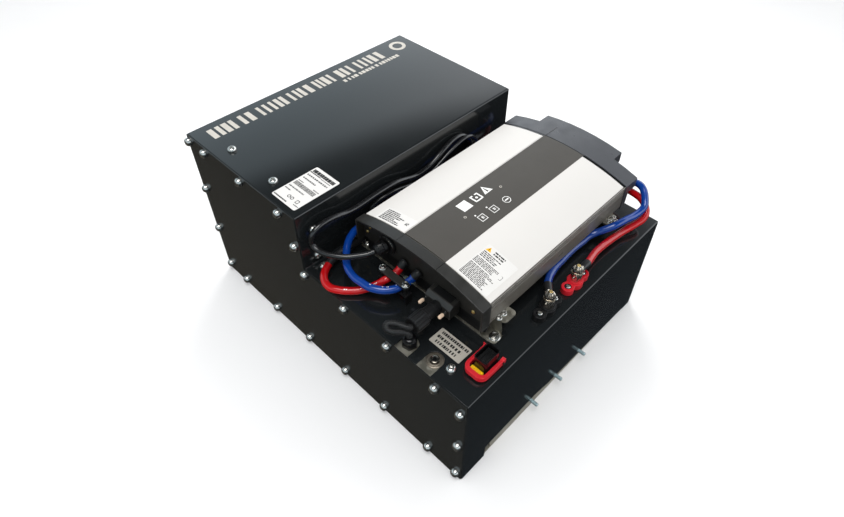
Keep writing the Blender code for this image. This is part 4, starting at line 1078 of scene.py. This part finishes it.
def braid(shape, path, radius, strands, pitch):
    """Crossing strands wound round a path both ways."""
    frames = carried_frames(path)
    walked = [0.0]
    for a, b in zip(path, path[1:]):
        walked.append(walked[-1] + (b - a).length)
    for turn in (1, -1):
        for strand in range(strands):
            line = []
            for point, (side, up), s in zip(path, frames, walked):
                a = turn * 2 * math.pi * s / pitch + 2 * math.pi * strand / strands
                over = 0.22 * math.cos(strands * (a if turn > 0 else -a))
                line.append(point + (side * math.cos(a) + up * math.sin(a)) * (radius + turn * over * 0.5))
            shape.tube(line, 0.9, 5)


BARREL_RISE = 5.6
RED_SLEEVE = (204.0, 330.0)


def make_cables():
    red = cable("cable_pos", "red_cable", RED_PATH, 6.85)
    blue = cable("cable_neg", "blue_cable", BLUE_PATH, 6.85)
    cable("cable_mains", "black_cable", MAINS_PATH, 5.2)
    cable("cable_aux", "black_cable", AUX_PATH, 3.8)
    cable_dashes("red_cable_dashes", red, 6.85, ((62, 3), (84, 4), (118, 2)), -0.35, 3)
    cable_dashes("blue_cable_dashes", blue, 6.85, ((44, 3), (62, 4), (80, 5)), 0.2, 5)
    shape = Shape()
    shape.tube(stretch_of(red, *RED_SLEEVE), 7.2, 24)
    shape.make("red_cable_sleeve", "sleeve", bevel=0.3)
    comm = smooth_path(COMM_PATH, 10)
    shape = Shape()
    shape.tube(comm, 4.5, 16)
    shape.make("comm_cable_finished", "black_cable", sharp=60, replaces=("comm_cable",))
    shape = Shape()
    braid(shape, comm, 4.6, 6, 17.0)
    shape.make("comm_cable_braid", "braid", sharp=80)
    for name, path, look in (("pos", red, "red_cable"), ("neg", blue, "blue_cable")):
        start = stretch_of(path, 0.5, 11.0)
        shape = Shape()
        shape.tube(start, 7.9, 28)
        ways = (start[1] - start[0]).normalized()
        shape.lathe([(0, 0), (8.8, 0), (9.0, 0.6), (9.0, 2.4), (8.5, 3.0), (0, 3.0)], start[0] - ways * 0.4, ways, 32)
        shape.make(f"charge_boot_{name}", "black", bevel=0.5)
        length = path_length(path)
        low, high = cad_range(f"post_stud_{name}")
        barrel = Vector(((low.x + high.x) / 2, (low.y + high.y) / 2, cad_range(f"lug_{name}")[0].z + BARREL_RISE))
        end = stretch_of(path, length - 7, length - 1.5)
        end += [barrel + LUG_WAY[name] * reach for reach in (23.0, 20.5, 18.0, 15.5)]
        shape = Shape()
        shape.tube(end, lambda share: 7.4 if share < 0.6 else 7.4 - 3.0 * (share - 0.6), 24)
        shape.make(f"lug_sleeve_{name}", "sleeve", bevel=0.3)


# Clamp and connectors at the near end


def make_clamp():
    refined("clamp_base", "black", 0.5, 2)
    low, high = cad_range("clamp_bar")
    x, z = (low.x + high.x) / 2, low.z
    shape = Shape()
    shape.prism(rounded(low.x, low.y, high.x, high.y, 6.9, 8), z, z + 5.0)
    shape.make("clamp_bar_finished", "cap", bevel=0.9, segments=3, replaces=("clamp_bar",))
    shape = Shape()
    for y, spin in ((-97.4, 0.3), (-152.8, 0.8)):
        hex_head(shape, (x, y, z + 4.9), (0, 0, 1), 4.6, 5.6, 6.9, spin=spin)
    shape.make("clamp_screws", "zinc")
    for y, tilt in ((-134.5, 0.25), (-151.5, -0.25)):
        tab = Shape()
        tab.prism(rounded(-5, -3.2, 5, 3.2, 1.6), 0, 2.0)
        tab.move(Matrix.Translation((-184.5, y, 281)) @ Matrix.Rotation(tilt, 4, "X") @ Matrix.Rotation(0.5, 4, "Y"))
        tab.make(f"terminal_tab_{'a' if y > -140 else 'b'}", "tab", bevel=0.5)


def make_dsub():
    low, high = cad_range("dsub_hood")
    y, z = (low.y + high.y) / 2, 286.0
    hood_x = -193.0
    shape = Shape()
    section = [
        (hood_x, 272), (high.x, 272), (high.x, 300), (hood_x + 8, 300), (hood_x, 293),
    ]
    shape.prism(section, low.y, high.y, "XZ")
    shape.make("dsub_hood_finished", "cap", bevel=1.4, segments=3, replaces=("dsub_hood",))
    shape = Shape()
    shape.prism([(hood_x + 10, 300), (high.x, 300), (high.x, 300.6), (hood_x + 10, 300.6)], y - 20, y + 20, "XZ")
    shape.lathe(
        [(0, 0), (11.0, 0), (11.0, 9), (12.4, 9.4), (12.4, 12), (11.2, 12.6), (11.2, 26), (12.6, 26.6), (12.6, 31),
         (11.4, 31.6), (0, 32)], (hood_x + 1, y, z), (-1, 0, 0), 40,
    )
    shape.make("dsub_neck", "black", bevel=0.2, segments=1)
    shape = Shape()
    knurled(shape, (low.x + 27, y, z), (-1, 0, 0), 15.4, 26.6, 18, 1.3, 5.2)
    shape.make("dsub_gland_nut", "black", bevel=0.25, segments=1)
    for i, side in enumerate((-1, 1), 1):
        at = (hood_x + 1, y + side * 22, 291)
        shape = Shape()
        shape.lathe([(0, 0), (1.6, 0), (1.6, 10.5), (0, 10.5)], at, (-1, 0, 0), 16)
        shape.make(f"jack_screw_shaft_{i}", "zinc")
        shape = Shape()
        knurled(shape, (at[0] - 9.6, at[1], at[2]), (-1, 0, 0), 3.3, 10.5, 10, 0.5)
        shape.make(f"jack_screw_grip_{i}", "cream", bevel=0.15, segments=1)


def make_mains_gland():
    toward = (Vector(MAINS_PATH[1]) - Vector((-174.3, -77, 311))).normalized()
    face = Vector((-168.3, -77, 311))
    shape = Shape()
    shape.lathe([(0, -6), (9, -6), (9, -0.5), (19, -0.3), (19, 4.6), (17.8, 6), (0, 6.2)], face, (-1, 0, 0), 56)
    shape.make("mains_gland_finished", "black", bevel=0.3, segments=1, replaces=("mains_gland",))
    shape = Shape()
    inner, outer = [], []
    for i in range(56):
        a = 2 * math.pi * i / 56
        for r, loop in ((18.2, outer), (16.9, inner)):
            loop.append((r * math.cos(a), r * math.sin(a)))
    shape.band(outer, inner, 0, 1.1)
    shape.move(Matrix.Translation(face + Vector((-5.6, 0, 0))) @ facing((-1, 0, 0)))
    shape.make("mains_gland_ring", "stainless", bevel=0.2, segments=1)
    shape = Shape()
    start = Vector((-174.3, -77, 311))
    shape.lathe([(11.6, 0), (11.6, 5.4, 6), (11.6, 6.4)], start, toward, 36)
    knurled(shape, start + toward * 6.2, toward, 11.6, 10.5, 14, 0.9, 5.5)
    shape.lathe([(0, 16), (10.2, 16), (9.4, 19.5), (7.6, 21.8), (5.8, 22.4), (0, 22)], start, toward, 40)
    shape.make("mains_gland_nut", "black", bevel=0.2, segments=1)


def make_step_gland():
    x, y = -258.0, -218.5
    base = 247.5
    shape = Shape()
    shape.lathe([(0, base - 12), (7.8, base - 12), (7.8, base), (0, base)], (x, y, 0), sides=32)
    shape.make("cable_gland_shank", "black", replaces=("cable_gland",))
    shape = Shape()
    shape.lathe(
        [(0, 0), (11.6, 0, 6, 13.1), (11.7, 1.0, 6, 13.5), (11.7, 8.2, 6, 13.5), (11.5, 9, 6, 12.8), (0, 9)],
        (x, y, base), (0, 0, 1), 48, 0.2,
    )
    shape.make("cable_gland_hex", "gloss_black", bevel=0.2, segments=1)
    shape = Shape()
    knurled(shape, (x, y, base + 8.9), (0, 0, 1), 11.6, 7.5, 14, 0.8)
    shape.lathe([(0, 7.4), (10.8, 7.4), (10.2, 10.2), (8.4, 11.6), (6.6, 11.9), (0, 11.6)], (x, y, base + 8.7), sides=40)
    shape.make("cable_gland_dome", "gloss_black", bevel=0.2, segments=1)


def make_wake_button():
    low, high = cad_range("wake_button_body")
    x, y = (low.x + high.x) / 2, (low.y + high.y) / 2
    base = 247.5
    shape = Shape()
    shape.lathe(
        [(8.9, base - 24), (8.9, base), (14.8, base), (15.0, base + 0.5), (14.9, base + 1.2), (13.4, base + 1.9),
         (12.9, base + 2.0), (12.6, base + 1.7), (12.0, base + 1.7), (11.7, base + 2.9), (10.4, base + 3.3),
         (9.0, base + 3.2), (8.5, base + 2.6), (8.4, base - 8), (4, base - 8), (4, base - 22), (0, base - 22)],
        (x, y, 0), sides=72,
    )
    shape.make("wake_button_body_finished", "bezel", sharp=30, replaces=("wake_button_body",))
    shape = Shape()
    top = cad_range("wake_button_cap")[1].z
    shape.lathe(
        [(0, base - 2), (7.9, base - 2), (7.9, top - 1.6), (7.5, top - 0.6), (6.6, top - 0.1), (5.9, top),
         (5.6, top - 0.4), (5.2, top - 0.9), (3.0, top - 1.2), (0, top - 1.3)], (x, y, 0), sides=56,
    )
    shape.make("wake_button_cap_finished", "dark_steel", "wake_button_cap", sharp=30, replaces=("wake_button_cap",))
    shape = Shape()
    shape.lathe([(0, 0), (3.1, 0), (3.1, 0.22), (2.8, 0.3), (0, 0.3)], (x, y, top - 1.3), sides=32)
    shape.make("wake_button_socket", "gloss_black", "wake_button_cap")


HEADER_HALF = 12.5
CORE_DEPTH = 9.0


def make_signal_connector():
    low, high = cad_range("can_header")
    x0, x1 = -222.0, -185.0
    y = (low.y + high.y) / 2
    half, top, foot = HEADER_HALF, high.z, low.z
    shape = Shape()
    outer = rounded(x0, y - half, x1, y + half, 5, 8)
    inner = rounded(x0 + 1.7, y - half + 1.7, x1 - 1.7, y + half - 1.7, 3.4, 8)
    shape.band(outer, inner, foot + 3, top)
    shape.prism(rounded(x0 + 1, y - half + 1, x1 - 1, y + half - 1, 4, 8), foot, foot + 9)
    shape.prism(rounded(low.x, y - 13.6, high.x, y + 13.6, 2.5), foot, foot + 3.4)
    pivot_x, pivot_z = -188.0, 260.0
    for side in (-1, 1):
        shape.lathe([(0, 0), (3.4, 0), (3.4, 6.2), (1.9, 6.4), (1.9, 12), (0, 12)],
                    (pivot_x, y + side * (half - 0.6), pivot_z), (0, side, 0), 24)
        shape.box((x0 + 5, y + side * half - 0.5, foot + 12), (x0 + 6.4, y + side * half + 0.9, top - 3))
        shape.box((x1 - 12, y + side * half - 0.5, foot + 12), (x1 - 10.6, y + side * half + 0.9, top - 3))
    shape.make("can_header_finished", "gloss_black", bevel=0.35, segments=2, replaces=("can_header",))
    shape = Shape()
    shape.prism(rounded(x0 + 3.4, y - half + 3.4, x1 - 3.4, y + half - 3.4, 2.2, 6), foot + 8, top - CORE_DEPTH)
    for i in range(6):
        for side in (-1, 1):
            px = x0 + 8.5 + i * 4.1
            shape.box((px - 1.1, y + side * 3.4 - 1.1, top - CORE_DEPTH - 0.2), (px + 1.1, y + side * 3.4 + 1.1, top - CORE_DEPTH + 2))
    shape.make("can_header_core", "black", bevel=0.15, segments=1)
    shape = Shape()
    shape.lathe([(0, 0), (1.3, 0), (1.5, 0.8), (1.5, 4.6), (1.1, 5.6), (0, 5.8)], (-176.5, -305.5, foot), sides=20)
    shape.make("can_header_pin", "red_plastic")
    make_lever(y, pivot_x)
    lock_low, lock_high = cad_range("can_cpa")
    shape = Shape()
    shape.prism(rounded(lock_low.x, lock_low.y, lock_high.x, lock_high.y, 0.8), lock_low.z, lock_high.z - 1.4)
    for i in range(6):
        rib = lock_low.y + 1.4 + i * 3.6
        shape.box((lock_low.x + 0.9, rib, lock_high.z - 1.6), (lock_high.x - 0.9, rib + 2.4, lock_high.z))
    shape.make("can_cpa_finished", "yellow_plastic", "can_cpa", bevel=0.3, replaces=("can_cpa",))


def make_lever(y, pivot_x):
    """A U of moulded bar with a raised rim, a raised pad on each leg and a beak at each leg's end."""
    low, high = cad_range("can_lever")
    half = (high.y - low.y) / 2
    outline = rounded(low.x, y - half, high.x + 40, y + half, 14, 10)
    outer = [(min(px, high.x), py) for px, py in outline]
    hollow = rounded(low.x + 8, y - half + 6, high.x + 40, y + half - 6, 7.4, 10)
    inner = [(min(px, high.x), py) for px, py in hollow]
    outer_path = [p for p in outer if p[0] < high.x]
    inner_path = [p for p in inner if p[0] < high.x]
    loop = [(high.x - 6, y + half), *outer_path, (high.x - 6, y - half)]
    back = [(high.x - 6, y + half - 6), *inner_path, (high.x - 6, y - half + 6)]
    shape = Shape()
    shape.prism([*loop, *back[::-1]], low.z, high.z - 1.2)
    rim = [(a * 0.72 + c * 0.28, b * 0.72 + d * 0.28) for (a, b), (c, d) in zip(loop, back)]
    shape.prism([*loop, *rim[::-1]], high.z - 1.4, high.z)
    for side in (-1, 1):
        leg = y + side * (half - 3)
        shape.prism(
            [(high.x - 7, low.z + 1), (high.x - 2.5, low.z), (high.x, low.z + 3), (high.x, high.z - 0.6),
             (high.x - 2, high.z + 1.6), (high.x - 9, high.z)], leg - 3, leg + 3, "XZ",
        )
        shape.prism([(pivot_x - 14, high.z - 1), (pivot_x - 2, high.z - 1), (pivot_x - 4, high.z + 0.8),
                     (pivot_x - 12, high.z + 0.8)], leg - 3, leg - 0.4, "XZ")
    shape.make("can_lever_finished", "red_plastic", "can_lever", bevel=0.45, replaces=("can_lever",))


# Parts inside, which keep their CAD shape

INSIDE = {
    "battery_module_1": "cells", "battery_module_2": "cells", "battery_module_3": "cells",
    "hold_down_bar": "galvanised", "busbar_link_1": "copper", "busbar_link_2": "copper", "bms_unit": "black",
    "main_contactor": "black", "main_fuse": "copper", "charger_pcb": "board",
}


def finish_inside():
    for node, look in INSIDE.items():
        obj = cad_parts[node]
        for slot in obj.material_slots:
            slot.material = LOOKS[look]


# Stage


def make_stage():
    scene = bpy.context.scene
    scene.view_settings.view_transform = "Standard"
    scene.view_settings.look = "None"
    mesh = bpy.data.meshes.new("floor")
    side = 6.0
    mesh.from_pydata([(-side, -side, 0), (side, -side, 0), (side, side, 0), (-side, side, 0)], [], [(0, 1, 2, 3)])
    floor = bpy.data.objects.new("floor", mesh)
    g = Graph("pale_floor")
    g.feed(g.shader.inputs["Base Color"], g.mix(g.noise(3.0), (0.93, 0.93, 0.93, 1), (0.96, 0.96, 0.96, 1)))
    g.feed(g.shader.inputs["Roughness"], 0.9)
    g.feed(g.shader.inputs["Specular IOR Level"], 0.1)
    mesh.materials.append(g.material)
    scene.collection.objects.link(floor)
    floor.visible_glossy = False

    world = bpy.data.worlds.new("studio")
    world.use_nodes = True
    scene.world = world
    tree = world.node_tree
    tree.nodes.clear()

    def node(kind, links, output=0, **settings):
        made = tree.nodes.new(kind)
        for key, value in settings.items():
            setattr(made, key, value)
        for key, value in links.items():
            if isinstance(value, bpy.types.NodeSocket):
                tree.links.new(value, made.inputs[key])
            else:
                made.inputs[key].default_value = value
        return made.outputs[output]

    way = node("ShaderNodeTexCoord", {}, "Generated")
    height = node("ShaderNodeSeparateXYZ", {0: way}, 2)
    # The gloss of the paint shows a room that is bright along the horizon on one side and dark overhead.
    toward = node("ShaderNodeVectorMath", {0: way, 1: (0.95, -0.3, 0.0)}, "Value", operation="DOT_PRODUCT")
    share = node("ShaderNodeMapRange", {0: toward, 1: 0.1, 2: 0.52, 3: 0.0, 4: 1.0})
    growth = node("ShaderNodeMath", {0: share, 1: 2.0}, operation="POWER")
    band = node("ShaderNodeMix", {0: growth, 6: (0.78, 0.93, 1.02, 1), 7: (2.05, 2.15, 2.25, 1)}, 2, data_type="RGBA")
    steep = node("ShaderNodeMapRange", {0: height, 1: 0.62, 2: 0.71, 3: 0.0, 4: 1.0})
    wide = node("ShaderNodeMix", {0: steep, 6: band, 7: (0.07, 0.085, 0.095, 1)}, 2, data_type="RGBA")
    overhead = node("ShaderNodeVectorMath", {0: way, 1: (-0.2, -0.1, 0.97)}, "Value", operation="DOT_PRODUCT")
    lamp_share = node("ShaderNodeMapRange", {0: overhead, 1: 0.93, 2: 0.97, 3: 0.0, 4: 1.0})
    sky = node("ShaderNodeMix", {0: lamp_share, 6: wide, 7: (7.0, 7.0, 7.0, 1)}, 2, data_type="RGBA")
    above = node("ShaderNodeMapRange", {0: height, 1: -0.04, 2: 0.12, 3: 0.0, 4: 1.0})
    behind = node("ShaderNodeVectorMath", {0: way, 1: (-0.73, 0.68, 0.0)}, "Value", operation="DOT_PRODUCT")
    floor_share = node("ShaderNodeMapRange", {0: behind, 1: -0.3, 2: 0.6, 3: 0.0, 4: 1.0})
    low = node("ShaderNodeMix", {0: floor_share, 6: (0.03, 0.036, 0.042, 1), 7: (0.09, 0.082, 0.066, 1)}, 2, data_type="RGBA")
    glossy = node("ShaderNodeMix", {0: above, 6: low, 7: sky}, 2, data_type="RGBA")
    rays = tree.nodes.new("ShaderNodeLightPath")
    diffuse = node("ShaderNodeMix", {0: above, 6: (0.2, 0.2, 0.2, 1), 7: (0.8, 0.81, 0.82, 1)}, 2, data_type="RGBA")
    lit = node(
        "ShaderNodeMix", {0: rays.outputs["Is Glossy Ray"], 6: diffuse, 7: glossy}, 2, data_type="RGBA"
    )
    seen = node("ShaderNodeMix", {0: rays.outputs["Is Camera Ray"], 6: lit, 7: (1, 1, 1, 1)}, 2, data_type="RGBA")
    background = node("ShaderNodeBackground", {0: seen, 1: 1.0})
    output = tree.nodes.new("ShaderNodeOutputWorld")
    tree.links.new(background, output.inputs[0])

    for name, at, power, size in (
        ("window_light", (0.9, 0.8, 1.7), 16.0, 0.9), ("ceiling_light", (-0.6, -0.5, 2.4), 22.0, 1.2),
        ("fill_light", (-1.9, -0.2, 0.9), 5.0, 1.2),
    ):
        light = bpy.data.lights.new(name, "AREA")
        light.energy = power
        light.size = size
        lamp = bpy.data.objects.new(name, light)
        lamp.location = at
        lamp.visible_glossy = False
        lamp.rotation_euler = (Vector((0, -0.05, 0.2)) - Vector(at)).to_track_quat("-Z", "Y").to_euler()
        scene.collection.objects.link(lamp)


def make_camera():
    """A level of elevation about 45 degrees, from beyond the near end and the front."""
    data = bpy.data.cameras.new("camera")
    data.lens = 25.87
    data.sensor_width = 36.0
    data.shift_x = -0.02036
    data.shift_y = -0.02854
    camera = bpy.data.objects.new("camera", data)
    right = Vector((0.69035, -0.72332, 0.01526)).normalized()
    forward = Vector((0.5175, 0.47895, -0.70908)).normalized()
    up = right.cross(forward)
    turn = Matrix((right, up, -forward)).transposed()
    camera.matrix_world = Matrix.Translation((-0.63982, -0.63113, 1.06248)) @ turn.to_4x4()
    bpy.context.scene.collection.objects.link(camera)
    bpy.context.scene.camera = camera


make_box()
make_box_fasteners()
make_banner()
make_roof_label()
make_instruction_plate()
make_charger_shell()
make_keypad()
make_charger_labels()
make_caps()
make_brackets()
make_posts()
make_cables()
make_clamp()
make_dsub()
make_mains_gland()
make_step_gland()
make_wake_button()
make_signal_connector()
finish_inside()
make_stage()
make_camera()

bpy.context.view_layer.update()
